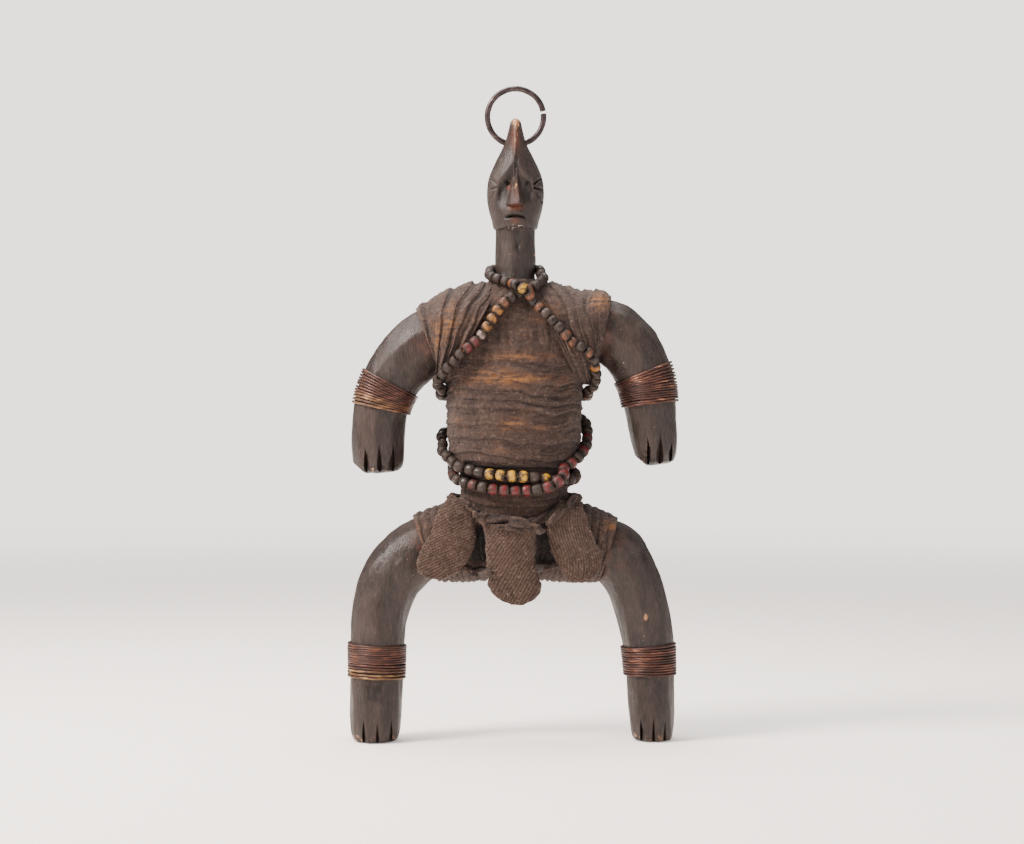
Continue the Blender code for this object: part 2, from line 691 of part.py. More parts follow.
def string_rings(places, radii):
    """Rings round a closed line, with a radius for each place."""
    count = len(places)
    rings = []
    for i, place in enumerate(places):
        along = (places[(i + 1) % count] - places[i - 1]).normalized()
        out = Vector((place.x, place.y, 0.0))
        out = (out - along * out.dot(along)).normalized()
        across = along.cross(out)
        rings.append([
            place + (out * math.cos(a) + across * math.sin(a)) * radii[i]
            for a in (2 * math.pi * k / BEAD_SIDES for k in range(BEAD_SIDES))
        ])
    return rings


def bead_string(name, places, diameter, length, finish_material):
    """A closed string of beads, fused at its thread."""
    marks = even_places(places, length)
    radii = [diameter / 2 * (1.0 if i % 2 else THREAD_SHARE) for i in range(len(marks))]
    return finish(skin_rings(name, string_rings(marks, radii), closed=True), finish_material, 70.0)


def belt(places, cloth):
    """The twisted rag tied round the hips."""
    line = [Vector(p) for p in smooth_path([tuple(p) for p in places], 1, closed=True)]
    rag = skin_rings("rag_belt", string_rings(line, [BELT_DIAMETER / 2] * len(line)), closed=True)
    return finish(rag, cloth, 70.0)


def flap(name, knots, tree, cloth):
    """A woven flap that hangs in front of the belt and lies on the hip cloth."""
    aside = math.copysign(FLAP_LEAN, knots[0][0]) if abs(knots[0][0]) > 10 else 0.0
    lean = Vector((aside, -1.0, 0.0)).normalized()
    reach = 0.3 * FIGURE_HEIGHT

    def placed(steps):
        """Rows down the flap, with a number of steps for each span."""
        return [(x - lean.x * FLAP_STANDOFF, z, half_width) for x, z, half_width in smooth_path(knots, steps)]

    def front_of(x, z, half_width):
        """How far out the cloth and the belt reach across a row."""
        nearest = reach
        for k in range(FLAP_PROBES + 1):
            start = Vector(((x + (2 * k / FLAP_PROBES - 1) * half_width) * SHARE, 0.0, z * SHARE)) + lean * reach
            hit = tree.ray_cast(start, -lean)
            if hit[0] is not None:
                nearest = min(nearest, hit[3])
        return reach - nearest

    rows = placed(1)
    probed = [front_of(*row) for row in placed(FLAP_STEPS)]
    fronts = [
        max(probed[max(0, FLAP_STEPS * (i - 1)):FLAP_STEPS * (i + 1) + 1]) for i in range(len(rows))
    ]
    for i in range(1, len(fronts)):
        fronts[i] = max(fronts[i], fronts[i - 1] - 0.8 * SHARE)
    rings = []
    for (x, z, half_width), front in zip(rows, fronts):
        base = Vector((x * SHARE, 0.0, z * SHARE)) + lean * (front + FIT_GAP)
        across = [
            Vector((2 * k / (FLAP_COLUMNS - 1) - 1, 0.0, 0.0)) * half_width * SHARE for k in range(FLAP_COLUMNS)
        ]
        outer = [base + a + lean * FLAP_THICKNESS for a in across]
        inner = [base + a for a in reversed(across)]
        rings.append([*outer, *inner])
    return finish(skin_rings(name, rings), cloth)


def wire_band(name, knots, start, end, turns, copper):
    """A wire wound round a limb, as one ribbed sleeve between two places counted in knots."""
    def ring_at(place, grow):
        """The limb's ring at a place, grown outwards."""
        rings = limb_rings(knots, grow)
        i = int(place)
        return [a.lerp(b, place - i) for a, b in zip(rings[i], rings[i + 1])]

    ribs = 2 * turns
    outer = [
        ring_at(start + (end - start) * i / ribs, FIT_GAP + WIRE_DIAMETER * (1.0 if i % 2 else 0.55))
        for i in range(ribs + 1)
    ]
    inside = [end, *range(int(end), int(start), -1), start]
    inner = [ring_at(place, FIT_GAP) for place in inside]
    return finish(skin_rings(name, [*outer, *inner], closed=True), copper, 60.0)


def centre_over_origin(objects):
    """Slides all the pieces together until their common box stands centred on the origin."""
    for axis in (0, 1):
        places = [v.co[axis] for obj in objects for v in obj.data.vertices]
        middle = (min(places) + max(places)) / 2
        for obj in objects:
            for vertex in obj.data.vertices:
                vertex.co[axis] -= middle


def build():
    """Makes every piece of the doll."""
    clear_scene()
    wood = material("dark_oiled_wood", (0.075, 0.055, 0.047), 0.5)
    cloth = material("old_cotton_strips", (0.075, 0.045, 0.032), 0.95)
    twill = material("ribbed_cotton", (0.085, 0.055, 0.042), 0.95)
    glass = material("old_glass_beads", (0.06, 0.045, 0.042), 0.45)
    copper = material("copper_wire", (0.26, 0.10, 0.06), 0.4, 1.0)
    iron = material("forged_iron", (0.07, 0.055, 0.055), 0.5, 1.0)
    figure = carved_figure(wood)
    clothes = wrappings(cloth)
    finish(ring_bar("crest_ring", RING_WIRE / 2, RING_OPENING), iron)
    tree = surface_tree([figure, *clothes])
    chest = laid_route(CHEST_ROUTE, tree, CHEST_BEAD_DIAMETER / 2, crossing=10)
    bead_string("chest_bead_string", chest, CHEST_BEAD_DIAMETER, CHEST_BEAD_LENGTH, glass)
    upper = laid_route(YELLOW_ROUTE, tree, WAIST_BEAD_DIAMETER / 2)
    bead_string("upper_waist_bead_string", upper, WAIST_BEAD_DIAMETER, WAIST_BEAD_LENGTH, glass)
    lower = laid_route(RED_ROUTE, tree, WAIST_BEAD_DIAMETER / 2, over=upper)
    bead_string("lower_waist_bead_string", lower, WAIST_BEAD_DIAMETER, WAIST_BEAD_LENGTH, glass)
    waist = belt(laid_route(BELT_ROUTE, tree, BELT_DIAMETER / 2, steps=2), cloth)
    front_tree = surface_tree([*clothes, waist])
    flap("right_flap", RIGHT_FLAP, front_tree, twill)
    flap("middle_flap", MIDDLE_FLAP, front_tree, twill)
    flap("left_flap", LEFT_FLAP, front_tree, twill)
    wire_band("right_wrist_wire", RIGHT_ARM, 2.82, 4.12, 6, copper)
    wire_band("left_wrist_wire", LEFT_ARM, 3.62, 5.2, 6, copper)
    wire_band("right_ankle_wire", RIGHT_LEG, 5.03, 6.43, 5, copper)
    wire_band("left_ankle_wire", LEFT_LEG, 5.19, 6.33, 4, copper)
    centre_over_origin(list(bpy.data.objects))


build()
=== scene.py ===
"""Looks of a namji doll: dark oiled wood, cloth strips, glass beads, copper wire and an iron ring.

Lengths in the tables are millimetres in the doll's own frame: soles at z = 0, facing -Y, right and left
the doll's own, so its right side lies at -X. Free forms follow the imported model's. Colours are sRGB.
"""

import itertools
import logging
import math
from dataclasses import dataclass
from enum import Enum

import bmesh
import bpy
import numpy as np
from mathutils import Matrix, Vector
from mathutils.bvhtree import BVHTree

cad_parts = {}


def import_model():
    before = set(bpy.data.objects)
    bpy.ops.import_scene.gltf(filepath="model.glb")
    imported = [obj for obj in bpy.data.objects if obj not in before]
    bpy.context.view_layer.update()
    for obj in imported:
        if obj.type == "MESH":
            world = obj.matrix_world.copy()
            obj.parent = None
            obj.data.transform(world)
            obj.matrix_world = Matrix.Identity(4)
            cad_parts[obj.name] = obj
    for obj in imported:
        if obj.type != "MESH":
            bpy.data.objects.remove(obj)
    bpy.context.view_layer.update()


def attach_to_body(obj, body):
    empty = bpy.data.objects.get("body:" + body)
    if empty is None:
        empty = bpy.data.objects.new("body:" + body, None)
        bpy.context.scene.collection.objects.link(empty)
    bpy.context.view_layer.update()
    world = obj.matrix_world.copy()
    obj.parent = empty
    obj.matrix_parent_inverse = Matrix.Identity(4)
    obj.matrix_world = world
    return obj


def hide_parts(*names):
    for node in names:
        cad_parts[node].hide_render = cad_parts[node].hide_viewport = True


LOG = logging.getLogger("namji_doll")
Socket = bpy.types.NodeSocket | float | tuple
MM = 0.001
SLIDE = np.array((0.494, -2.547, 0.0))
FIT_GAP = 0.3

HEAD_CENTRE_X = 0.6
HEAD_START = 246.4
BROW_TOP = 277.2
EYES = ((-4.0, 268.0), (6.1, 267.8))
THROAT_PIT = (1.2, 238.0)
SCARS = (((9.4, 267.6), (12.6, 270.8)), ((9.4, 265.8), (13.3, 265.4)), ((10.4, 263.6), (13.3, 259.4)))
PHOTO_SCALE = 0.4831
PHOTO_MIDDLE = 514.6
PHOTO_SOLES = 740.0
EYE_HEIGHT = 153.0
FRONT_SHARE = 0.978
NOSE_TOP, NOSE_END = 275.4, 257.2
FLAP_LEAN = 0.35
FLAP_STANDOFF = 18.0

# The trunk: height, half width, depth in front, depth behind, and how square its section is.
TRUNK = np.array((
    (78.5, 14.0, 9.5, 9.5, 2.2),
    (83.0, 23.5, 14.5, 14.5, 2.2),
    (94.0, 26.0, 16.0, 16.0, 2.2),
    (117.0, 21.5, 16.5, 16.5, 2.2),
    (139.0, 27.0, 20.5, 18.8, 2.2),
    (158.0, 28.5, 22.0, 19.5, 2.2),
    (182.0, 29.3, 19.5, 18.7, 2.2),
    (201.0, 30.5, 17.5, 17.5, 2.2),
    (210.0, 27.5, 15.5, 15.5, 2.1),
    (216.0, 17.0, 12.0, 12.0, 2.0),
    (221.0, 10.4, 10.4, 10.4, 2.0),
    (232.0, 9.8, 9.8, 9.8, 2.0),
    (246.2, 9.5, 9.5, 9.5, 2.0),
    (246.6, 10.4, 11.4, 10.0, 2.0),
    (250.2, 11.3, 12.2, 11.4, 2.0),
    (255.3, 12.7, 12.3, 13.0, 1.95),
    (260.5, 13.6, 12.4, 14.2, 1.9),
    (265.6, 13.7, 12.5, 15.0, 1.85),
    (270.8, 13.0, 12.4, 15.0, 1.75),
    (276.0, 11.1, 11.6, 14.0, 1.6),
    (281.2, 8.6, 10.4, 12.4, 1.5),
    (286.3, 5.9, 9.0, 10.4, 1.45),
    (290.2, 4.4, 7.8, 8.8, 1.5),
    (295.0, 3.2, 6.0, 7.0, 1.6),
    (298.4, 2.4, 4.0, 4.8, 1.8),
    (300.0, 1.0, 1.8, 2.2, 2.0),
))

# Limbs: x, y, z, half width and half depth. The second knot is the cloth's edge.
RIGHT_ARM = (
    (-14.0, 0.0, 197.0, 15.0, 14.0),
    (-40.6, 0.0, 192.3, 15.9, 15.2),
    (-53.7, -0.5, 181.5, 15.0, 14.6),
    (-60.5, -1.0, 171.0, 13.9, 13.9),
    (-64.3, -1.4, 160.2, 13.3, 13.4),
    (-65.8, -1.6, 145.4, 13.0, 12.6),
    (-65.6, -1.6, 134.5, 12.3, 11.2),
    (-65.4, -1.6, 130.4, 10.6, 9.4),
    (-65.3, -1.6, 129.5, 8.8, 7.8),
)
LEFT_ARM = (
    (14.0, 0.0, 200.0, 15.0, 14.0),
    (42.7, 0.0, 197.6, 15.3, 15.0),
    (52.3, -0.4, 191.9, 15.1, 14.8),
    (58.2, -0.7, 184.9, 14.6, 14.4),
    (63.5, -1.0, 173.8, 13.6, 13.8),
    (65.5, -1.2, 163.3, 12.9, 13.2),
    (67.2, -1.4, 149.3, 11.7, 12.2),
    (68.3, -1.6, 139.0, 10.4, 10.8),
    (68.6, -1.6, 134.4, 8.8, 8.8),
    (68.6, -1.6, 133.3, 7.2, 7.0),
)
RIGHT_LEG = (
    (-12.0, 0.0, 99.0, 15.0, 14.0),
    (-42.3, 0.0, 92.5, 15.3, 14.6),
    (-55.4, -0.8, 82.5, 15.2, 14.8),
    (-61.5, -1.5, 72.9, 14.5, 14.4),
    (-65.0, -2.4, 59.8, 13.6, 13.9),
    (-66.2, -3.2, 47.4, 13.1, 13.6),
    (-66.3, -3.8, 36.2, 12.9, 13.7),
    (-66.6, -4.6, 19.3, 12.7, 14.8),
    (-66.8, -5.0, 7.0, 12.2, 15.4),
    (-67.0, -5.0, 1.0, 11.2, 14.6),
    (-67.0, -5.0, -3.0, 10.4, 13.8),
)
LEFT_LEG = (
    (12.0, 0.0, 97.0, 15.0, 14.0),
    (44.6, 0.0, 91.6, 14.6, 14.6),
    (52.0, 0.0, 84.8, 14.4, 14.8),
    (57.2, 0.0, 76.2, 13.6, 14.4),
    (61.6, -0.2, 63.8, 13.1, 13.8),
    (64.4, -0.4, 49.0, 12.5, 13.4),
    (65.5, -0.6, 35.0, 11.8, 13.4),
    (65.9, -1.0, 21.0, 11.4, 14.2),
    (66.5, -1.2, 9.0, 10.8, 14.6),
    (66.9, -1.2, 1.0, 9.9, 13.8),
    (66.9, -1.2, -3.0, 9.2, 13.0),
)

# The V cuts between fingers and toes: x, top height and half width at the tip.
RIGHT_HAND_CUTS = ((-71.2, 138.5, 1.3), (-64.6, 139.5, 1.5), (-58.4, 140.5, 1.5))
LEFT_HAND_CUTS = ((64.4, 147.5, 0.8), (70.0, 145.5, 2.0), (75.4, 141.0, 1.2))
RIGHT_FOOT_CUTS = ((-71.8, 10.5, 1.5), (-65.2, 10.0, 1.5), (-58.9, 10.5, 1.6))
LEFT_FOOT_CUTS = ((61.0, 12.0, 1.5), (66.6, 11.0, 1.4), (72.2, 10.5, 1.6))
TIPS = (
    (RIGHT_ARM, RIGHT_HAND_CUTS), (LEFT_ARM, LEFT_HAND_CUTS),
    (RIGHT_LEG, RIGHT_FOOT_CUTS), (LEFT_LEG, LEFT_FOOT_CUTS),
)
CUT_DEPTH = 4.2
CUT_OVERRUN = 3.0

# The cloth's thickness shares at heights.
TORSO_LEVELS = np.array((
    (131.6, 0.35), (132.6, 0.75), (136.0, 1.0), (143.0, 1.06), (155.0, 1.04), (168.0, 1.0),
    (182.0, 1.0), (196.0, 0.95), (206.0, 0.9), (213.0, 0.9), (218.0, 0.8), (221.8, 0.55),
))
ROLL_LEVELS = np.array((
    (80.2, 0.3), (84.0, 0.6), (92.0, 0.65), (101.0, 0.75), (108.0, 0.9), (114.0, 1.0), (120.0, 1.0),
    (126.0, 0.85), (130.6, 0.3),
))

# Bead strings and the belt: degrees round the body from its front towards its left, and height.
CHEST_ROUTE = (
    (-90, 226.0), (-42, 222.6), (-4, 219.2), (11, 215.8), (20, 211.8), (27, 208.0), (33, 203.8),
    (38, 199.2), (43, 194.6), (50, 189.6), (59, 183.8), (69, 176.0), (80, 169.0), (92, 166.2), (112, 166.5),
    (145, 172.0), (180, 178.0), (215, 172.0), (248, 166.5), (268, 166.2), (283, 169.0), (299, 176.5),
    (311, 183.8), (319, 189.4), (325, 193.8), (331, 198.4), (337, 203.2), (344, 207.8), (351, 210.8),
    (0, 213.0), (12, 215.2), (30, 217.9), (50, 221.0), (86, 226.0), (130, 227.5), (180, 228.0), (230, 227.5),
)
YELLOW_ROUTE = (
    (-98, 147.0), (-88, 142.0), (-76, 137.4), (-66, 134.2), (-55, 131.4), (-44, 129.6), (-30, 128.6),
    (-15, 127.8), (0, 127.4), (15, 127.0), (28, 126.4), (42, 125.2), (56, 125.0), (74, 125.6),
    (92, 127.5), (120, 131.0), (150, 136.0), (180, 141.0), (210, 145.5), (240, 148.0),
)
RED_ROUTE = (
    (-84, 128.4), (-70, 126.0), (-58, 124.6), (-46, 123.2), (-32, 121.8), (-16, 120.8), (0, 120.4),
    (14, 120.6), (27, 121.6), (38, 124.8), (48, 129.4), (60, 133.8), (76, 139.6), (90, 146.0),
    (104, 153.0), (125, 155.5), (150, 151.0), (180, 144.5), (210, 138.0), (245, 132.0),
)
BELT_ROUTE = (
    (0, 104.0), (30, 106.5), (50, 111.0), (72, 115.2), (95, 116.8), (140, 115.5), (180, 115.0),
    (220, 115.5), (265, 116.8), (288, 115.2), (310, 111.0), (330, 106.5),
)

# Flaps: x, z and half width down the middle.
RIGHT_FLAP = (
    (-27.0, 116.8, 5.4), (-27.6, 108.0, 8.4), (-28.8, 99.0, 11.0), (-32.4, 90.6, 12.7),
    (-35.0, 84.4, 11.2), (-36.0, 79.6, 7.0), (-36.2, 78.0, 3.0),
)
MIDDLE_FLAP = (
    (-1.8, 104.6, 12.6), (-1.9, 95.0, 11.8), (-1.6, 86.5, 11.5), (-0.4, 79.6, 12.2),
    (0.5, 73.9, 12.6), (1.1, 69.1, 9.6), (1.6, 66.0, 3.4),
)
LEFT_FLAP = (
    (26.0, 115.6, 4.6), (24.6, 106.6, 9.2), (26.6, 97.6, 11.2), (29.6, 89.6, 11.6),
    (30.6, 82.6, 9.8), (30.2, 78.2, 6.0), (29.8, 76.8, 2.6),
)


class Glass(Enum):
    """Bead colours, as places along the beads' colour ramp."""

    GRIME = 0.05
    SMOKE = 0.25
    BROWN = 0.42
    GOLD = 0.52
    YELLOW = 0.65
    RED = 0.85
    WHITE = 0.97


@dataclass(frozen=True)
class Accent:
    """A bead whose colour shows, by where it lies in the front view."""

    x: float
    z: float
    glass: Glass


def front_place(column: float, row: float) -> tuple[float, float]:
    """The x and z on the doll's front that a column and row of the front view show.

    Args:
        column: pixel column in the front view.
        row: pixel row in the front view.

    Returns:
        X and z in millimetres.
    """
    height = (PHOTO_SOLES - row) * PHOTO_SCALE
    x = (column - PHOTO_MIDDLE) * PHOTO_SCALE * FRONT_SHARE
    return x, EYE_HEIGHT + (height - EYE_HEIGHT) * FRONT_SHARE


# Patches of red powder on the cloth, where the thin bands across the belly between z 173.5 and 184.5 are
# painted highlights along fold ridges: x, z, their reach across and down, and how strong they are.
RUST_AND_HIGHLIGHT_SPOTS = (
    (41.5, 211.0, 4.5, 3.6, 1.0), (-31.0, 201.0, 3.0, 9.0, 0.6), (-37.0, 194.0, 2.5, 6.0, 0.6),
    (2.0, 184.5, 13.0, 2.0, 0.6), (0.0, 173.5, 20.0, 2.2, 0.75), (-12.0, 177.5, 10.0, 1.6, 0.4),
    (-2.0, 152.0, 4.0, 3.0, 0.5), (46.0, 103.5, 2.6, 2.2, 0.8), (-47.0, 98.0, 3.0, 6.0, 0.4),
    (16.0, 206.0, 6.0, 5.0, 0.3),
)
CHEST_ACCENTS = [
    Accent(*front_place(column, row), glass)
    for column, row, glass in (
        (522.6, 290.3, Glass.YELLOW), (514, 284, Glass.BROWN), (530, 299, Glass.BROWN),
        (537, 305, Glass.BROWN), (505, 301, Glass.BROWN), (498, 309, Glass.GOLD), (493, 314, Glass.GOLD),
        (487, 320, Glass.GOLD), (482, 326, Glass.GOLD), (475, 332, Glass.WHITE), (471, 341, Glass.RED),
        (464, 346.5, Glass.RED), (562, 339, Glass.BROWN), (594, 368, Glass.GOLD),
    )
]
YELLOW_ACCENTS = [
    Accent(*front_place(column, row), Glass.YELLOW)
    for column, row in ((490, 473.7), (501, 475), (512, 475.8), (523.5, 476.5), (543.5, 477))
]
RED_ACCENTS = [
    Accent(*front_place(column, row), Glass.RED)
    for column, row in (
        (452, 479), (477, 485), (498, 490), (510, 491), (521, 491), (532, 490.5), (543.5, 488), (552.6, 483),
        (560, 474), (569, 471), (576, 464), (587, 450.5), (588, 434), (584, 418),
    )
]


class Noise:
    """Smooth seeded noise in space, between -1 and 1."""

    SIZE = 32

    def __init__(self, seed: int) -> None:
        """Draws the noise's lattice from a seed."""
        self.lattice = np.random.default_rng(seed).random((self.SIZE,) * 3) * 2 - 1

    def __call__(self, points: np.ndarray, size: tuple) -> np.ndarray:
        """Noise at points, with features of this size along each axis.

        Args:
            points: places in millimetres.
            size: size of the features along each axis.

        Returns:
            One value for each point.
        """
        scaled = points / np.array(size, dtype=float)
        base = np.floor(scaled).astype(int)
        part = scaled - base
        part = part * part * (3 - 2 * part)
        total = np.zeros(points.shape[:-1])
        for corner in itertools.product((0, 1), repeat=3):
            weight = np.prod(np.where(corner, part, 1 - part), axis=-1)
            index = (base + corner) % self.SIZE
            total += weight * self.lattice[index[..., 0], index[..., 1], index[..., 2]]
        return total


def circle(sides: int) -> np.ndarray:
    """Even angles round a full turn."""
    return np.linspace(0, 2 * math.pi, sides, endpoint=False)


def ramp(value: np.ndarray, low: float, high: float) -> np.ndarray:
    """0 at low and 1 at high, smooth between; low may be the larger."""
    t = np.clip((value - low) / (high - low), 0.0, 1.0)
    return t * t * (3 - 2 * t)


def blend_at(knots: np.ndarray, at: np.ndarray) -> np.ndarray:
    """The smooth values between knots at places, where each knot starts with its place.

    Args:
        knots: rows of a place and its values.
        at: places to read.

    Returns:
        One row of values for each place.
    """
    places = knots[:, 0]
    span = np.clip(np.searchsorted(places, at, side="left") - 1, 0, len(places) - 2)
    before, after = np.maximum(span - 1, 0), np.minimum(span + 2, len(places) - 1)
    start, end = knots[span], knots[span + 1]
    width = end[:, :1] - start[:, :1]
    t = np.clip((at[:, None] - start[:, :1]) / width, 0.0, 1.0)
    slope_in = (end - knots[before]) / (end[:, :1] - knots[before][:, :1]) * width
    slope_out = (knots[after] - start) / (knots[after][:, :1] - start[:, :1]) * width
    values = (
        (2 * t**3 - 3 * t**2 + 1) * start + (t**3 - 2 * t**2 + t) * slope_in
        + (3 * t**2 - 2 * t**3) * end + (t**3 - t**2) * slope_out
    )
    return values[:, 1:]


def smooth_path(knots: np.ndarray | tuple, steps: int, closed: bool = False) -> np.ndarray:
    """Points on one smooth curve through the knots, with a number of steps for each span.

    Args:
        knots: the rows to pass through.
        steps: steps for each span.
        closed: whether the last knot runs on to the first.

    Returns:
        The rows of the curve.
    """
    knots = np.array(knots, dtype=float)
    count = len(knots)
    t = (np.arange(steps) / steps)[:, None]
    rows = []
    for i in range(count if closed else count - 1):
        around = [k % count if closed else max(0, min(count - 1, k)) for k in range(i - 1, i + 3)]
        a, b, c, d = knots[around]
        rows.append(0.5 * (2 * b + (c - a) * t + (2 * a - 5 * b + 4 * c - d) * t**2
                           + (3 * b - a - 3 * c + d) * t**3))
    if not closed:
        rows.append(knots[-1:])
    return np.concatenate(rows)


def grid_faces(rows: int, sides: int, start: int = 0, closed: bool = False) -> np.ndarray:
    """The quads of a tube of rings, numbered from a start.

    Args:
        rows: number of rings.
        sides: points of a ring.
        start: number of the first point.
        closed: whether the last ring joins the first.

    Returns:
        The quads' point numbers.
    """
    here = np.arange(rows if closed else rows - 1)[:, None] * sides
    there = (here + sides) % (rows * sides)
    k = np.arange(sides)[None, :]
    after = (k + 1) % sides
    return start + np.stack((here + k, here + after, there + after, there + k), axis=-1).reshape(-1, 4)


def grid_normals(rings: np.ndarray) -> np.ndarray:
    """Unit normals of a tube of rings, pointing away from the rings' middles.

    Args:
        rings: the tube's points, ring by ring.

    Returns:
        One unit normal for each point.
    """
    along = np.gradient(rings, axis=0)
    around = np.roll(rings, -1, axis=1) - np.roll(rings, 1, axis=1)
    normals = np.cross(around, along)
    normals /= np.linalg.norm(normals, axis=-1, keepdims=True) + 1e-12
    out = rings - rings.mean(axis=1, keepdims=True)
    return normals * np.where(np.sum(normals * out, axis=(-1, -2)) < 0, -1.0, 1.0)[:, None, None]


class MeshParts:
    """Tubes collected into one mesh, in millimetres in the doll's own frame."""

    def __init__(self) -> None:
        """Starts without a part."""
        self.points: list[np.ndarray] = []
        self.quads: list[np.ndarray] = []
        self.caps: list[list[int]] = []
        self.values: dict[str, list[np.ndarray]] = {}
        self.count = 0

    def tube(self, rings: np.ndarray, closed: bool = False, **values: np.ndarray) -> None:
        """Adds a tube of rings, flat at its ends unless it closes on itself, with values at its points.

        Args:
            rings: the tube's points, ring by ring.
            closed: whether the last ring joins the first.
            values: named values at the points.
        """
        rows, sides = rings.shape[:2]
        self.quads.append(grid_faces(rows, sides, self.count, closed))
        if not closed:
            self.caps.append([self.count + k for k in range(sides)])
            last = self.count + (rows - 1) * sides
            self.caps.append([last + k for k in reversed(range(sides))])
        self.points.append(rings.reshape(-1, 3))
        for name, value in values.items():
            self.values.setdefault(name, []).append(np.broadcast_to(value, (rows, sides)).reshape(-1))
        self.count += rows * sides

    def build(self, name: str) -> bpy.types.Object:
        """The object, with all faces pointing outwards.

        Args:
            name: the object's name.

        Returns:
            The linked object.
        """
        points = (np.concatenate(self.points) + SLIDE) * MM
        quads = np.concatenate(self.quads)
        mesh = bpy.data.meshes.new(name)
        mesh.from_pydata(points.tolist(), [], quads.tolist() + self.caps)
        for key, value in self.values.items():
            mesh.attributes.new(key, "FLOAT", "POINT").data.foreach_set("value", np.concatenate(value))
        piece = bpy.data.objects.new(name, mesh)
        bpy.context.scene.collection.objects.link(piece)
        turn_outwards(piece)
        return piece


def turn_outwards(piece: bpy.types.Object) -> None:
    """Points every face of a piece out of its solid, and shades the faces smooth.

    Args:
        piece: the piece to turn.
    """
    shape = bmesh.new()
    shape.from_mesh(piece.data)
    bmesh.ops.recalc_face_normals(shape, faces=shape.faces)
    shape.to_mesh(piece.data)
    shape.free()
    piece.data.shade_smooth()
    piece.data.set_sharp_from_angle(angle=math.radians(50))


def cut_away(piece: bpy.types.Object, cutter: bpy.types.Object) -> None:
    """Cuts a piece with a cutter, which is used up.

    Args:
        piece: the piece to cut.
        cutter: the cutter, which is removed.
    """
    modifier = piece.modifiers.new("cut", "BOOLEAN")
    modifier.operation = "DIFFERENCE"
    modifier.solver = "EXACT"
    modifier.use_self = True
    modifier.object = cutter
    evaluated = piece.evaluated_get(bpy.context.evaluated_depsgraph_get())
    mesh = bpy.data.meshes.new_from_object(evaluated)
    piece.modifiers.remove(modifier)
    piece.data = mesh
    bpy.data.objects.remove(cutter)


def section(angle: np.ndarray, form: np.ndarray, grow: np.ndarray | float = 0.0) -> np.ndarray:
    """Points of the trunk's sections: angle 0 is the front, and a quarter turn is at +X.

    Args:
        angle: angles of the ring's points.
        form: half width, front, back and squareness of each ring.
        grow: how far the points stand out.

    Returns:
        X and y of each ring's points.
    """
    half_width, front, back, squareness = (form[:, k][:, None] for k in range(4))
    across, along = np.sin(angle)[None, :], np.cos(angle)[None, :]
    x = np.sign(across) * np.abs(across) ** (2.0 / squareness) * half_width
    y = -np.sign(along) * np.abs(along) ** (2.0 / squareness) * np.where(along > 0, front, back)
    return np.stack((x + across * grow, y - along * grow), axis=-1)


def trunk_rings(heights: np.ndarray, angles: np.ndarray, grow: np.ndarray | float = 0.0) -> np.ndarray:
    """Plain rings round the trunk at heights, grown outwards.

    Args:
        heights: height of each ring.
        angles: angles of the ring's points.
        grow: how far the points stand out.

    Returns:
        The rings' points.
    """
    form = blend_at(TRUNK, heights)
    xy = section(angles, form, np.broadcast_to(np.reshape(grow, (-1, 1)) if np.ndim(grow) else grow,
                                                (len(heights), 1)))
    z = np.broadcast_to(heights[:, None], xy.shape[:2])
    x = xy[..., 0] + HEAD_CENTRE_X * ramp(heights, 216.0, 232.0)[:, None]
    return np.stack((x, xy[..., 1], z), axis=-1)


@dataclass(frozen=True)
class CrestRing:
    """The open ring, forged a little uneven and cut off square at its ends."""

    diameter: float = 30.2
    thickness: float = 2.9
    opening: float = 1.3
    opening_angle: float = math.radians(9.0)
    plane: float = 2.6
    bore_height: float = 287.7
    bore_room: float = 0.35

    def bar(self, turn: np.ndarray, bar_radius: float, sides: int) -> np.ndarray:
        """Rings of the ring's bar at turns round it.

        Args:
            turn: angles round the ring.
            bar_radius: the bar's radius.
            sides: points round the bar.

        Returns:
            The bar's rings.
        """
        radius = (self.diameter - self.thickness) / 2
        centre = np.array((HEAD_CENTRE_X, self.plane, self.bore_height + radius))
        out = np.stack((np.cos(turn), np.zeros_like(turn), np.sin(turn)), axis=-1)
        a = circle(sides)
        thick = np.full((len(turn), 1), bar_radius)
        return (
            centre + out[:, None, :] * (radius + thick * np.cos(a))[..., None]
            + np.array((0.0, 1.0, 0.0)) * (thick * np.sin(a))[..., None]
        )

    def build(self) -> bpy.types.Object:
        """Makes the ring.

        Returns:
            The ring.
        """
        half = self.opening / (self.diameter - self.thickness)
        turn = self.opening_angle + half + np.linspace(0, 2 * math.pi - 2 * half, 220)
        rings = self.bar(turn, self.thickness / 2, 28)
        blows = Noise(21)
        rings += grid_normals(rings) * (0.11 * blows(rings, (2.4, 2.0, 2.4)) - 0.04)[..., None]
        parts = MeshParts()
        parts.tube(rings)
        return parts.build("forged_crest_ring")


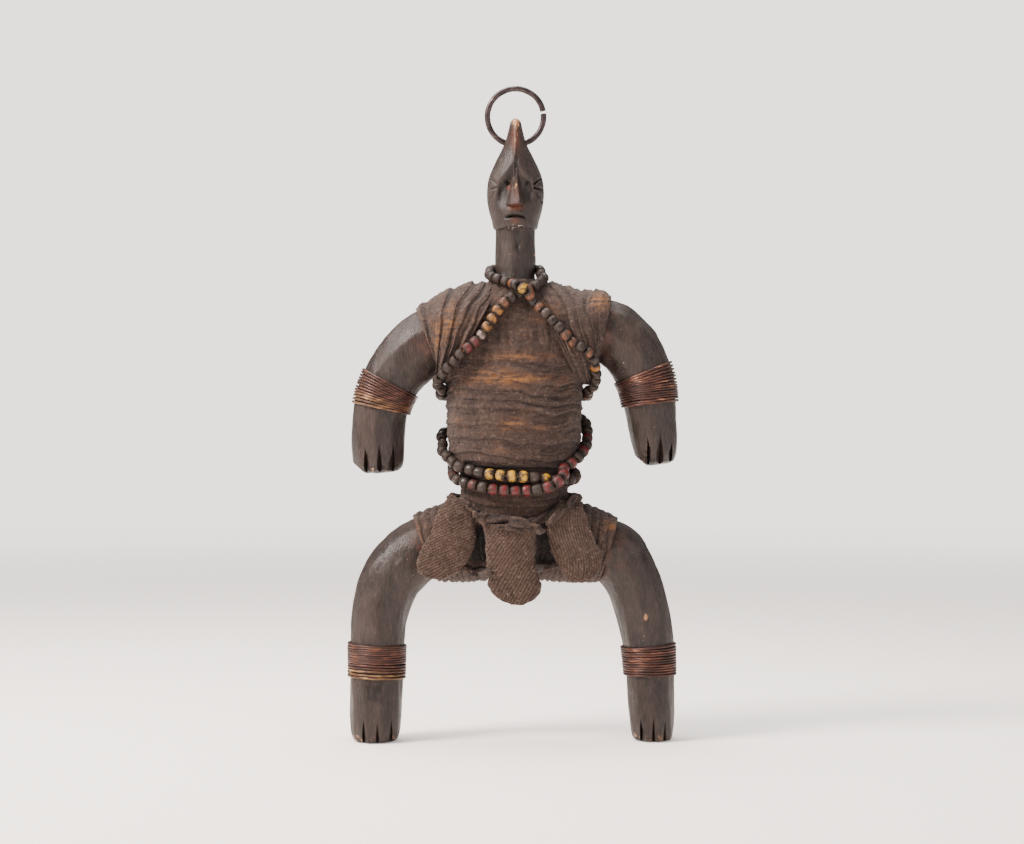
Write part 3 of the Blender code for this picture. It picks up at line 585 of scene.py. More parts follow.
class CarvedFigure:
    """The wooden figure: one carving with a worn surface and knife facets."""

    LIMB_SIDES = 84
    FACETS = 9
    FACET_SHARE = 0.55
    FACE_SIDES = 176

    def __init__(self) -> None:
        """Sets up the noises of the carving and the wear."""
        self.facets = Noise(11)
        self.wear_noise = Noise(12)
        self.parts = MeshParts()

    def build(self) -> bpy.types.Object:
        """Makes the figure and cuts its fingers, toes and ring bore.

        Returns:
            The figure.
        """
        self.add_trunk()
        for knots in (RIGHT_ARM, LEFT_ARM, RIGHT_LEG, LEFT_LEG):
            self.add_limb(knots)
        figure = self.parts.build("carved_figure_skin")
        notches = MeshParts()
        for knots, cuts in TIPS:
            self.add_notches(notches, knots, cuts)
        turn = circle(64)
        ring = CrestRing()
        notches.tube(ring.bar(turn, ring.thickness / 2 + ring.bore_room, 20), closed=True)
        cut_away(figure, notches.build("notches"))
        turn_outwards(figure)
        self.mark_wear(figure)
        return figure

    def add_trunk(self) -> None:
        """The hidden core, the neck and the head, as one skin."""
        heights = np.concatenate((
            np.linspace(78.5, 216.0, 24), np.linspace(217.5, 246.1, 60), (246.25, 246.4, 246.6),
            np.linspace(246.9, 299.2, 146), (299.7, 300.0),
        ))
        even = np.linspace(-math.pi, math.pi, self.FACE_SIDES, endpoint=False)
        angles = even - 0.5 * np.sin(even)
        rings = trunk_rings(heights, angles)
        x = rings[..., 0] - HEAD_CENTRE_X
        y, z = rings[..., 1], rings[..., 2]
        front = ramp(-y, 1.0, 5.0) * (z > HEAD_START)
        rings[..., 1] = y + self.face_relief(x, z) * front
        inward = -np.stack((x, rings[..., 1] * 0.9, np.zeros_like(x)), axis=-1)
        inward /= np.linalg.norm(inward, axis=-1, keepdims=True) + 1e-9
        rings += inward * (self.head_grooves(x, z) * (y < 0))[..., None]
        rings += grid_normals(rings) * self.tool_marks(rings, 0.16)[..., None]
        self.parts.tube(rings)

    def face_relief(self, x: np.ndarray, z: np.ndarray) -> np.ndarray:
        """How far the face is carved back; the nose stands forward of it.

        Args:
            x: places across the face.
            z: their heights.

        Returns:
            Depth at each place.
        """
        across = np.abs(x)
        down = np.clip((NOSE_TOP - z) / (NOSE_TOP - NOSE_END), 0.0, 1.0)
        nose_half = 1.1 + 3.1 * down
        nose = (0.8 + 4.0 * down) * np.clip(1.75 - 1.55 * across / nose_half, 0.0, 1.0)
        nose *= ramp(z, 256.7, 257.4)
        nose *= 1.0 - ramp(z, 273.5, 278.5)
        brow = BROW_TOP - 1.15 * across
        hollow = ramp(brow - z, -2.2, 6.0) * ramp(z, 253.8, 265.5)
        hollow *= (1.0 - ramp(across, 6.6, 10.0)) * (0.75 + 0.25 * (1 - across / 9.8))
        muzzle = 0.7 * np.exp(-((z - 249.6) / 2.4) ** 2) * (1 - ramp(across, 3.0, 7.0))
        keel = 0.9 * np.exp(-((across / 1.4) ** 2)) * ramp(z, 275.0, 283.0) * (1 - ramp(z, 292.0, 299.0))
        groove = 0.75 * np.exp(-(((x - 0.5) / 0.95) ** 2)) * ramp(z, 273.5, 276.5)
        groove *= 1 - ramp(z, 280.0, 287.0)
        return 3.9 * hollow - nose - muzzle - keel + groove

    def head_grooves(self, x: np.ndarray, z: np.ndarray) -> np.ndarray:
        """Depths of the mouth, eyes, throat pit and temple scars.

        Args:
            x: places across the head.
            z: their heights.

        Returns:
            Depth at each place.
        """
        mouth_line = 251.9 - 0.8 * (np.abs(x) / 5.0) ** 2
        depth = 1.9 * np.exp(-((z - mouth_line) / (0.85 - 0.07 * np.abs(x))) ** 2)
        depth *= 1 - ramp(np.abs(x), 3.2, 5.8)
        for ex, ez, wide, tall, deep in (
            (*EYES[0], 0.95, 0.9, 1.7), (*EYES[1], 0.95, 0.95, 1.6), (*THROAT_PIT, 1.4, 2.6, 1.2),
        ):
            depth += deep * np.exp(-(((x - ex) / wide) ** 2 + ((z - ez) / tall) ** 2))
        for side in (-1, 1):
            for (x0, z0), (x1, z1) in SCARS:
                run = np.array((x1 - x0, z1 - z0))
                t = np.clip(((side * x - x0) * run[0] + (z - z0) * run[1]) / run.dot(run), 0.0, 1.0)
                away = np.hypot(side * x - x0 - t * run[0], z - z0 - t * run[1])
                depth += (1.7 if side > 0 else 0.8) * np.exp(-(away / (0.5 if side > 0 else 0.42)) ** 2)
        return depth

    def tool_marks(self, rings: np.ndarray, amount: float) -> np.ndarray:
        """Shallow knife facets and a few lengthwise checks in the wood.

        Args:
            rings: the surface's points.
            amount: how deep the marks are.

        Returns:
            How far each point stands out.
        """
        wide = np.abs(self.facets(rings, (5.5, 5.5, 16.0)))
        fine = self.facets(rings + 50.0, (1.6, 1.6, 7.0))
        checks = np.clip(self.facets(rings + 90.0, (1.1, 1.1, 22.0)) - 0.5, 0.0, 1.0)
        return amount * (1.7 * wide + 0.35 * fine - 1.6 * checks)

    def add_limb(self, knots: tuple) -> None:
        """An arm or a leg from inside the trunk to its tip.

        Args:
            knots: the limb's table.
        """
        steps = max(4, round(150 / len(knots)))
        path = smooth_path(knots, steps)
        lowest = path[-1]
        dome = [
            lowest * np.array((1, 1, 1, s, s)) - np.array((0, 0, drop, 0, 0))
            for s, drop in ((0.9, 0.35), (0.72, 0.6), (0.45, 0.75), (0.16, 0.8))
        ]
        path = np.concatenate((path, dome))
        along = np.gradient(path[:, (0, 2)], axis=0)
        along[-2 * steps - 4:] = along[-2 * steps - 5]
        along /= np.linalg.norm(along, axis=1, keepdims=True)
        turn = circle(self.LIMB_SIDES)
        side = np.stack((-along[:, 1], np.zeros(len(path)), along[:, 0]), axis=-1)
        drift = 0.25 * np.sin(np.arange(len(path)) / len(path) * 5.0 + knots[0][0])[:, None]
        plane = 2 * math.pi / self.FACETS
        flat = math.cos(plane / 2) / np.cos((turn + drift) % plane - plane / 2)
        round_share = self.FACET_SHARE * flat + 1.0 - self.FACET_SHARE
        rings = (
            path[:, None, :3]
            + side[:, None, :] * (path[:, 3, None] * np.cos(turn) * round_share)[..., None]
            + np.array((0.0, 1.0, 0.0)) * (path[:, 4, None] * np.sin(turn) * round_share)[..., None]
        )
        marks = self.tool_marks(rings, 0.3) * ramp(rings[..., 2], 0.5, 4.0)
        rings += grid_normals(rings) * marks[..., None]
        if lowest[2] < 0:
            low = np.clip(1.4 - rings[..., 2], 0.0, 1.4)
            pull = 1.0 - 0.035 * low**2
            middle = path[:, None, :2]
            rings[..., :2] = middle + (rings[..., :2] - middle) * pull[..., None]
            rings[..., 2] = np.maximum(rings[..., 2], 0.0)
        self.parts.tube(rings)

    def add_notches(self, notches: MeshParts, knots: tuple, cuts: tuple) -> None:
        """The V cutters between fingers or toes.

        Args:
            notches: the parts that take the cutters.
            knots: the limb's table.
            cuts: the cuts between its fingers or toes.
        """
        x_end, y_end, z_end, half_width, half_depth = knots[-2]
        heights = [knot[2] for knot in reversed(knots)]
        depths = [knot[4] for knot in reversed(knots)]
        if z_end > 50.0:
            for side, wide, high in ((-1, 4.6, 3.8), (1, 3.2, 2.8)):
                edge, tip = x_end + side * (half_width + 1.6), knots[-1][2] - 1.5
                corner = (
                    (edge - side * (wide + 1.6), tip), (edge + side * 4.0, tip),
                    (edge + side * 4.0, tip + high + 5.0), (edge, tip + high + 1.5),
                )
                flat = np.array([(cx, -30.0, cz) for cx, cz in corner])
                notches.tube(np.stack((flat, flat + (0.0, 60.0, 0.0))))
        for x, top, tip_half_width in cuts:
            aside = math.sqrt(1.0 - min(0.92, abs(x - x_end) / half_width) ** 2)
            face = y_end - half_depth * aside
            top += 4.5 if top > 100.0 else 1.5
            below = min(z_end, knots[-1][2]) - CUT_OVERRUN
            ahead = face - CUT_OVERRUN
            spread = 1.35 * tip_half_width * (face + CUT_DEPTH - ahead) / CUT_DEPTH
            floor = np.array((
                (x - spread, ahead, below), (x + spread, ahead, below), (x, face + CUT_DEPTH, below),
            ))
            peak = np.array((x, y_end - np.interp(top, heights, depths) * aside - 0.25, top))
            notches.tube(np.stack((floor, floor + (peak - floor) * 0.985)))

    def mark_wear(self, figure: bpy.types.Object) -> None:
        """Marks where the dark skin is rubbed off and where the wood shows red, and where shade is painted
        into the eyes, mouth, throat pit, scars, brow hollows, forehead crease and the cuts between fingers
        and toes.

        Args:
            figure: the carved figure.
        """
        mesh = figure.data
        points = np.empty(len(mesh.vertices) * 3)
        mesh.vertices.foreach_get("co", points)
        points = points.reshape(-1, 3) / MM - SLIDE
        x, y, z = points.T
        patch = 0.5 + 0.5 * self.wear_noise(points, (3.0, 3.0, 3.0))
        fine = 0.5 + 0.5 * self.wear_noise(points + 40.0, (1.1, 1.1, 1.6))
        head_x = x - HEAD_CENTRE_X
        wear = ramp(z, 293.5, 298.5) * (0.15 + 0.75 * patch + 0.3 * fine)
        wear *= 1.0 - 0.5 * ramp(np.abs(head_x), 1.0, 2.0)
        wear += ramp(z, 283.0, 291.0) * np.exp(-(((head_x - 0.3) / 1.2) ** 2)) * (y < 0) * (0.2 + 0.8 * patch)
        wear += 0.75 * np.exp(-((head_x / 1.0) ** 2) - ((z - 265.5) / 3.0) ** 2) * (y < -8) * patch
        arm_tips = np.where(x < 0, 130.5, 134.0)
        on_hand = (np.abs(x) > 48) & (z > 125)
        wear += on_hand * (1 - ramp(z, arm_tips - 0.5, arm_tips + 2.2)) * (0.05 + 1.1 * patch)
        wear += 0.9 * np.exp(-(((x - 10.2) / 1.0) ** 2) - ((z - 233.8) / 0.7) ** 2)
        on_foot = (np.abs(x) > 48) & (z < 20)
        wear += on_foot * (1 - ramp(z, 1.0, 6.0)) * (0.1 + 1.3 * patch * fine) * np.where(y < -5, 1.0, 0.5)
        wear += 0.9 * np.exp(-(((x - 63.4) / 1.6) ** 2 + ((z - 59.6) / 2.0) ** 2)) * (y < 0)
        wear += 0.22 * ramp(fine * patch, 0.42, 0.6)
        red = np.exp(-((head_x / 3.6) ** 4) - ((z - 255.9) / 1.0) ** 2) * (y < 0) * (0.5 + 0.7 * fine)
        red += 0.45 * np.exp(-((head_x / 2.2) ** 2) - ((z - 249.4) / 1.5) ** 2) * (y < 0)
        red += 0.8 * np.exp(-(((head_x + 3.3) / 0.9) ** 2) - ((z - 265.8) / 1.3) ** 2) * (y < 0)
        red += 0.4 * np.exp(-((head_x / 1.6) ** 2) - ((z - 262.0) / 5.0) ** 2) * (y < -8)
        crest = ramp(z, 279.0, 288.0) * (1 - ramp(z, 293.0, 297.0)) * (y < 0)
        red += 0.6 * np.exp(-((head_x / 2.0) ** 2)) * crest
        specks = 0.8 * np.exp(-(((z - 246.7) / 0.7) ** 2)) * (1 - ramp(np.abs(head_x), 3.0, 4.6)) * (y < 0)
        pit_x, pit_z = THROAT_PIT
        # Painted shade: darkening for the throat pit, eyes, brow hollows, temple scars, forehead crease,
        # mouth and the cuts between fingers and toes.
        stain = 0.9 * np.exp(-(((head_x - pit_x) / 1.6) ** 2) - ((z - pit_z) / 3.0) ** 2) * (y < 0)
        for eye_x, eye_z in EYES:
            stain += 1.3 * np.exp(-(((head_x - eye_x) / 1.1) ** 2) - ((z - eye_z) / 1.1) ** 2) * (y < 0)
        in_hollow = ramp(BROW_TOP - 1.15 * np.abs(head_x) - z, 0.0, 3.5) * ramp(z, 255.5, 263.0)
        side = ramp(np.abs(head_x), 2.4, 4.2) * (1 - ramp(np.abs(head_x), 7.4, 9.8))
        stain += 0.85 * in_hollow * side * (y < 0)
        for (x0, z0), (x1, z1) in SCARS:
            run_x, run_z = x1 - x0, z1 - z0
            share = np.clip(((head_x - x0) * run_x + (z - z0) * run_z) / (run_x**2 + run_z**2), 0, 1)
            off = np.hypot(head_x - x0 - share * run_x, z - z0 - share * run_z)
            stain += 0.9 * np.exp(-((off / 0.5) ** 2)) * (y < 4)
        crease = np.exp(-(((head_x - 0.5) / 1.0) ** 2)) * ramp(z, 272.5, 275.5) * (1 - ramp(z, 282.0, 288.0))
        stain += 0.7 * crease * (y < 0)
        wear *= 1.0 - np.clip(stain, 0.0, 1.0)
        mouth = np.exp(-(((z - 251.6) / 0.9) ** 2)) * (1 - ramp(np.abs(head_x), 4.0, 5.6)) * (y < 0)
        stain += mouth
        for knots, cuts in TIPS:
            x_tip, y_tip, z_tip, half_width, half_depth = knots[-3]
            within = np.hypot((x - x_tip) / half_width, (y - y_tip) / half_depth) < 0.9
            beside = np.min([np.abs(x - cut_x) / (1.7 * half + 0.4) for cut_x, _, half in cuts], axis=0) < 1.0
            in_cut = within & beside & (y < y_tip) & (np.abs(z - z_tip) < 20.0)
            wear[in_cut] = 0.0
            # Painted shade inside the cuts between fingers and toes.
            stain += 0.9 * in_cut
            edge = knots[1]
            near = np.exp(-(((x - edge[0]) / 7.0) ** 2) - ((z - edge[2]) / 13.0) ** 2)
            red += 0.35 * near * ramp(patch, 0.35, 0.7)
        for name, value in (("wear", wear), ("red", red), ("speck", specks), ("stain", stain)):
            mesh.attributes.new(name, "FLOAT", "POINT").data.foreach_set("value", np.clip(value, 0.0, 1.0))


class Cloth:
    """Wound cloth strips: overlapping bands with folds that run along them."""

    def __init__(self, seed: int) -> None:
        """Sets up the noise and the random draws of one cloth."""
        self.noise = Noise(seed)
        self.random = np.random.default_rng(seed)

    def band_edges(self, low: float, high: float, narrow: float, wide: float) -> np.ndarray:
        """Places where one band ends and the next starts.

        Args:
            low: where the first band starts.
            high: where the last one ends.
            narrow: the least width.
            wide: the greatest width.

        Returns:
            The bands' edges.
        """
        edges = [low]
        while edges[-1] < high:
            edges.append(edges[-1] + self.random.uniform(narrow, wide))
        return np.array(edges)

    def bands(self, place: np.ndarray, edges: np.ndarray, step: float) -> np.ndarray:
        """A saw-tooth relief: each band is proud where it starts, over the one before.

        Args:
            place: where each point lies across the bands.
            edges: the bands' edges.
            step: how thick a strip is.

        Returns:
            How far each point stands out.
        """
        index = np.clip(np.searchsorted(edges, place) - 1, 0, len(edges) - 2)
        width = edges[index + 1] - edges[index]
        share = (place - edges[index]) / width
        lift = 1.0 - share
        edge = ramp(share * width, 0.0, 0.45)
        tail = edges[index]
        strength = 0.7 + 0.3 * np.sin(tail * 12.9)
        return step * strength * (lift * edge - 0.35)

    def cords(self, place: np.ndarray, edges: np.ndarray, step: float) -> np.ndarray:
        """A rounded relief: each band is a twisted strip with a crease on both sides.

        Args:
            place: where each point lies across the bands.
            edges: the bands' edges.
            step: how proud a cord is.

        Returns:
            How far each point stands out.
        """
        index = np.clip(np.searchsorted(edges, place) - 1, 0, len(edges) - 2)
        share = np.clip((place - edges[index]) / (edges[index + 1] - edges[index]), 0.0, 1.0)
        return step * (np.sqrt(np.clip(1.0 - (2 * share - 1) ** 2, 0.0, 1.0)) - 0.6)

    def folds(self, points: np.ndarray, size: tuple, amount: float) -> np.ndarray:
        """Sharp creases between soft folds.

        Args:
            points: the surface's points.
            size: size of the folds along each axis.
            amount: how high they are.

        Returns:
            How far each point stands out.
        """
        a = 1.0 - np.abs(self.noise(points, size)) * 2.0
        b = 1.0 - np.abs(self.noise(points + 71.0, tuple(0.45 * s for s in size))) * 2.0
        return amount * (a + 0.5 * b)

    def crust(self, points: np.ndarray, amount: float) -> np.ndarray:
        """Lumps of dust and oil on the weave.

        Args:
            points: the surface's points.
            amount: how high the lumps are.

        Returns:
            How far each point stands out.
        """
        a = self.noise(points + 13.0, (1.5, 1.5, 1.5))
        b = self.noise(points + 29.0, (0.75, 0.75, 0.75))
        return amount * (a + 0.8 * b)


def shade_of(relief: np.ndarray, spread: float) -> np.ndarray:
    """How far relief lies in a crease or on a ridge, from 0 to 1 with 0.5 between."""
    return np.clip(0.5 + relief / spread, 0.0, 1.0)


def gap_depth_and_shade_at(points: np.ndarray) -> np.ndarray:
    """The hollows that lie between the flaps: how far they are pressed in, and their painted shade.

    Args:
        points: the surface's points.

    Returns:
        How far each point is pressed in, and how much painted shade it gets.
    """
    x, y, z = points[..., 0] + 0.8, points[..., 1], points[..., 2]
    aside = np.exp(-(((np.abs(x) - 16.0) / 5.5) ** 4))
    return aside * ramp(z, 83.5, 87.5) * (1.0 - ramp(z, 101.0, 106.0)) * ramp(-y, 6.0, 9.0)


def rust_and_highlight_spots(points: np.ndarray) -> np.ndarray:
    """Where rust-red powder is caked on the cloth, and where fold ridges on the belly get painted highlights,
    as seen from the front.

    Args:
        points: the surface's points.

    Returns:
        How red or highlighted each point is.
    """
    total = np.zeros(points.shape[:-1])
    for x, z, wide, tall, strength in RUST_AND_HIGHLIGHT_SPOTS:
        total += strength * np.exp(-(((points[..., 0] - x) / wide) ** 2) - ((points[..., 2] - z) / tall) ** 2)
    return np.clip(total, 0.0, 1.0)


@dataclass(frozen=True)
class TorsoWrapping:
    """Strips wound level round the belly, and drawn upwards over the chest to the neck."""

    thickness: float = 3.9

    def build(self) -> bpy.types.Object:
        """Makes the wrapping.

        Returns:
            The wrapping.
        """
        cloth = Cloth(31)
        low, high = TORSO_LEVELS[0, 0], TORSO_LEVELS[-1, 0]
        heights = np.linspace(low, high, 236)
        sides = 248
        even = np.linspace(-math.pi, math.pi, sides, endpoint=False)
        angles = even - 0.25 * np.sin(even)
        share = blend_at(TORSO_LEVELS, heights)[:, 0]
        rings = trunk_rings(heights, angles, self.thickness * share)
        z = rings[..., 2]
        sway = cloth.noise(rings, (16.0, 16.0, 60.0))
        level = z + 2.2 * sway + 1.1 * cloth.noise(rings + 5.0, (7.0, 7.0, 9.0)) + 0.05 * rings[..., 0]
        belly = 1.0 - ramp(z + 2.0 * sway, 176.0, 190.0)
        relief = cloth.bands(level, cloth.band_edges(low - 9.0, high + 9.0, 4.0, 9.5), 0.85)
        relief *= 0.25 + 0.75 * belly
        wide = np.stack((rings[..., 0], rings[..., 1], level), axis=-1)
        relief += cloth.folds(wide, (10.0, 10.0, 1.6), 0.36) * belly
        relief += cloth.folds(rings, (3.6, 3.6, 15.0), 0.42) * (1.0 - belly)
        relief += cloth.crust(rings, 0.24)
        edge = ramp(heights, low, low + 2.0) * (1.0 - ramp(heights, high - 1.5, high))
        rings += grid_normals(rings) * (relief * (0.25 + 0.75 * edge[:, None]))[..., None]
        inner = trunk_rings(np.linspace(high - 0.3, low + 0.3, 16), angles, 0.15)
        parts = MeshParts()
        shade = np.concatenate((shade_of(relief, 2.6), np.zeros(inner.shape[:2])))
        whole = np.concatenate((rings, inner))
        parts.tube(whole, closed=True, relief=shade, rust=rust_and_highlight_spots(whole))
        return parts.build("torso_cloth")


def oval(top: np.ndarray, bottom: np.ndarray, half_depth: float, grow: float, turn: np.ndarray) -> np.ndarray:
    """An oval ring between a top and a bottom point, grown outwards.

    Args:
        top: x and z of its top.
        bottom: x and z of its bottom.
        half_depth: half its depth.
        grow: how far it is grown.
        turn: angles round it.

    Returns:
        The ring's points.
    """
    centre = (top + bottom) / 2
    axis = (top - bottom) / np.linalg.norm(top - bottom)
    half_height = np.linalg.norm(top - bottom) / 2 + grow
    x = centre[0] + axis[0] * half_height * np.cos(turn)
    z = centre[1] + axis[1] * half_height * np.cos(turn)
    return np.stack((x, (half_depth + grow) * np.sin(turn), z), axis=-1)


def edge_oval(knots: tuple) -> tuple:
    """The top, bottom and half depth of a limb's bare section just past its second knot.

    Args:
        knots: the limb's table.

    Returns:
        Top, bottom and half depth.
    """
    before, knot, after = (np.array(k) for k in knots[:3])
    along = (after - before)[[0, 2]]
    along /= np.linalg.norm(along)
    side = np.array((-along[1], along[0]))
    side = side if side[1] > 0 else -side
    centre = knot[[0, 2]] + along * 0.9
    return centre + side * knot[3], centre - side * knot[3], knot[4]


def wound_limb_root(
    parts: MeshParts, ovals: list, cloth: Cloth, pitch: tuple, step: float, corded: bool
) -> None:
    """A sleeve of strips wound round the root of a limb, through ovals and over the bare limb.

    Args:
        parts: the parts that take the sleeve.
        ovals: top, bottom, half depth and growth of each.
        cloth: the strips' noise.
        pitch: least and greatest width of a band.
        step: how proud a band is.
        corded: whether the strips are twisted.
    """
    count = 170
    turn = circle(190)
    knots = np.array([[*top, *bottom, depth, grow] for top, bottom, depth, grow in ovals])
    path = smooth_path(knots, 32)
    path = path[np.linspace(0, len(path) - 1, count).round().astype(int)]
    rings = np.stack([oval(row[:2], row[2:4], row[4], row[5], turn) for row in path])
    reach = np.concatenate(([0.0], np.cumsum(np.linalg.norm(
        np.diff((path[:, :2] + path[:, 2:4]) / 2, axis=0), axis=1))))
    place = reach[:, None] + 1.8 * np.sin(turn + 0.6)[None, :] + 1.3 * cloth.noise(rings, (9.0, 9.0, 9.0))
    edges = cloth.band_edges(-8.0, reach[-1] + 10.0, *pitch)
    relief = cloth.cords(place, edges, step) if corded else cloth.bands(place, edges, step)
    around = [np.broadcast_to(9.0 * wave, place.shape) for wave in (np.cos(turn), np.sin(turn))]
    relief += cloth.folds(np.stack((place, *around), axis=-1), (1.5, 9.0, 9.0), 0.3 if corded else 0.42)
    relief += cloth.crust(rings, 0.20)
    edge = 1.0 - 0.8 * ramp(reach, reach[-1] - 1.2, reach[-1])
    # The hollows between the flaps are pressed in here and given painted shade.
    soot = gap_depth_and_shade_at(rings)
    rings += grid_normals(rings) * (relief * edge[:, None] - 1.2 * soot)[..., None]
    inner = [oval(row[:2], row[2:4], row[4] - 0.2, -0.2, turn) for row in path[-1:0:-34]]
    inner.append(oval(path[0][:2], path[0][2:4], path[0][4] - 3.0, -3.0, turn))
    hidden = np.zeros((len(inner), len(turn)))
    whole = np.concatenate((rings, np.stack(inner)))
    parts.tube(
        whole, closed=True, relief=np.concatenate((shade_of(relief, 2.4), hidden)),
        soot=np.concatenate((soot, hidden)), rust=rust_and_highlight_spots(whole),
    )


@dataclass(frozen=True)
class ShoulderWrapping:
    """Strips wound over a shoulder; side is -1 for the right one and 1 for the left one."""

    name: str
    knots: tuple
    side: int
    seed: int
    thickness: float = 1.9

    def build(self) -> bpy.types.Object:
        """Makes the wrapping.

        Returns:
            The wrapping.
        """
        top, bottom, half_depth = edge_oval(self.knots)
        shift = np.array((self.side, 0.0))
        ovals = [
            (np.array((self.side * 7.5, 218.2)), np.array((self.side * 30.0, 173.6)), 20.2, self.thickness),
            (np.array((self.side * 20.0, 218.6)), np.array((self.side * 35.0, 173.4)), 20.6, self.thickness),
            (np.array((self.side * 33.0, 215.0)), np.array((self.side * 37.5, 174.6)), 19.4, self.thickness),
            (
                top - shift * 5.0 + (0.0, 3.0), bottom - shift * 0.6 - (0.0, 0.8),
                half_depth + 2.0, self.thickness * 0.8,
            ),
            (top, bottom, half_depth, self.thickness * 0.7),
        ]
        parts = MeshParts()
        wound_limb_root(parts, ovals, Cloth(self.seed), (3.4, 6.4), 1.3, False)
        return parts.build(self.name)


@dataclass(frozen=True)
class HipWrapping:
    """The roll of strips under the belly, and the strips wound round both hips."""

    roll: float = 4.2
    sleeve: float = 1.8

    def build(self) -> bpy.types.Object:
        """Makes the wrapping.

        Returns:
            The wrapping.
        """
        cloth = Cloth(41)
        parts = MeshParts()
        low, high = ROLL_LEVELS[0, 0], ROLL_LEVELS[-1, 0]
        heights = np.linspace(low, high, 130)
        angles = np.linspace(-math.pi, math.pi, 200, endpoint=False)
        share = blend_at(ROLL_LEVELS, heights)[:, 0]
        rings = trunk_rings(heights, angles, self.roll * share)
        level = rings[..., 2] + 1.2 * cloth.noise(rings, (14.0, 14.0, 40.0)) - 0.006 * rings[..., 0] ** 2
        relief = cloth.bands(level, cloth.band_edges(low - 5.0, high + 9.0, 4.0, 7.5), 1.0)
        stretched = np.stack((rings[..., 0], rings[..., 1], level), axis=-1)
        relief += cloth.folds(stretched, (12.0, 12.0, 1.8), 0.3) + cloth.crust(rings, 0.18)
        # The hollows between the flaps are pressed in here and given painted shade.
        soot = gap_depth_and_shade_at(rings)
        rings += grid_normals(rings) * (relief - 1.6 * soot)[..., None]
        inner = trunk_rings(np.linspace(high - 0.3, low + 0.3, 10), angles, 0.15)
        hidden = np.zeros(inner.shape[:2])
        whole = np.concatenate((rings, inner))
        parts.tube(
            whole, closed=True, relief=np.concatenate((shade_of(relief, 2.4), hidden)),
            soot=np.concatenate((soot, hidden)), rust=rust_and_highlight_spots(whole),
        )
        for knots, side in ((RIGHT_LEG, -1), (LEFT_LEG, 1)):
            top, bottom, half_depth = edge_oval(knots)
            ovals = [
                (np.array((side * 9.0, 112.0)), np.array((side * 4.0, 80.6)), 15.6, self.sleeve),
                (np.array((side * 22.0, 113.6)), np.array((side * 14.0, 78.6)), 16.0, self.sleeve),
                (np.array((side * 34.0, 111.6)), np.array((side * 26.0, 77.6)), 15.8, self.sleeve),
                (top, bottom, half_depth, self.sleeve * 0.85),
            ]
            wound_limb_root(parts, ovals, Cloth(43 + side), (2.4, 4.2), 1.0, True)
        return parts.build("hip_cloth")


class Surface:
    """The doll's dressed surface, which strings and flaps lie on."""

    def __init__(self, pieces: list[bpy.types.Object]) -> None:
        """Collects the faces of some pieces, in millimetres.

        Args:
            pieces: what they lie on.
        """
        vertices, faces = [], []
        for piece in pieces:
            start = len(vertices)
            vertices += [v.co / MM for v in piece.data.vertices]
            faces += [[start + i for i in face.vertices] for face in piece.data.polygons]
        self.tree = BVHTree.FromPolygons(vertices, faces)

    def seat(self, bearing: float, height: float, clear: float, others: list, apart: float) -> Vector:
        """The place nearest the body's axis on a bearing, clear of the surface and of other points.

        Args:
            bearing: angle from the front.
            height: height of the place.
            clear: distance from the surface.
            others: points to keep clear of.
            apart: distance from those points.

        Returns:
            The place.
        """
        out = Vector((math.sin(bearing), -math.cos(bearing), 0.0))
        axis = Vector((SLIDE[0], SLIDE[1], height))
        reach = 42.0
        for _ in range(60):
            place = axis + out * reach
            slack = self.tree.find_nearest(place)[3] - clear
            for other in others:
                slack = min(slack, (place - other).length - apart)
            if abs(slack) < 1e-3:
                break
            reach -= 0.7 * slack
        return place

    def lay(self, route: tuple, radius: float, over: list = (), steps: int = 4, crossing: int = 0) -> list:
        """Places along a closed route on the cloth; those up to crossing knots lie over the rest.

        Args:
            route: bearings and heights.
            radius: the string's radius.
            over: places that it lies over.
            steps: steps for each knot.
            crossing: how many knots lie over the rest.

        Returns:
            The places.
        """
        turns, last, knots = 0, route[0][0], []
        for bearing, height in route:
            if bearing + 360 * turns < last - 180:
                turns += 1
            last = bearing + 360 * turns
            knots.append((last, height))
        turn = 360 * round((knots[-1][0] - knots[0][0] + 180) / 360)
        wrapped = [(knots[-1][0] - turn, knots[-1][1]), *knots]
        wrapped += [(bearing + turn, height) for bearing, height in knots[:2]]
        samples = smooth_path(wrapped, steps)[steps:-steps - 1]
        places: list = [None] * len(samples)
        upper = crossing * steps
        for i in [*range(upper, len(samples)), *range(upper)]:
            below = [p for p in places[upper + 2 * steps:-2 * steps] if p] if i < upper else []
            places[i] = self.seat(
                math.radians(samples[i][0]), samples[i][1], radius + 0.1, [*over, *below], 2 * radius + 0.15
            )
        return places

    def draped_rag(self, ends: tuple, radius: float, frays: int) -> tuple:
        """A rag that lies on the front between x and z places: its line, its radius and its loose threads.

        Args:
            ends: x and z places.
            radius: the rag's radius.
            frays: number of loose threads.

        Returns:
            The line, the radius and the number of threads.
        """
        line = smooth_path(np.array(ends, dtype=float), 14)
        ahead = Vector((0.0, -1.0, 0.0))
        near = (-1.2, 0.0, 1.2)
        reach = np.array([
            max(self.front(x + SLIDE[0] + dx, z + dz, ahead) for dx in near for dz in near)
            for x, z in line
        ])
        smooth = np.convolve(np.pad(reach, 3, mode="edge"), np.full(7, 1 / 7), mode="valid")
        depth = -(np.maximum(smooth, reach - 0.6) + 0.45 * radius) - SLIDE[1]
        return np.stack((line[:, 0], depth, line[:, 1]), axis=-1), radius, frays

    def front(self, x: float, z: float, lean: Vector) -> float:
        """How far out along a direction the surface reaches at x and z.

        Args:
            x: place across the body.
            z: its height.
            lean: the direction.

        Returns:
            The surface's reach, or 0 where it misses.
        """
        start = Vector((x, 0.0, z)) + lean * 90.0
        hit = self.tree.ray_cast(start, -lean)
        return 90.0 - hit[3] if hit[0] is not None else 0.0


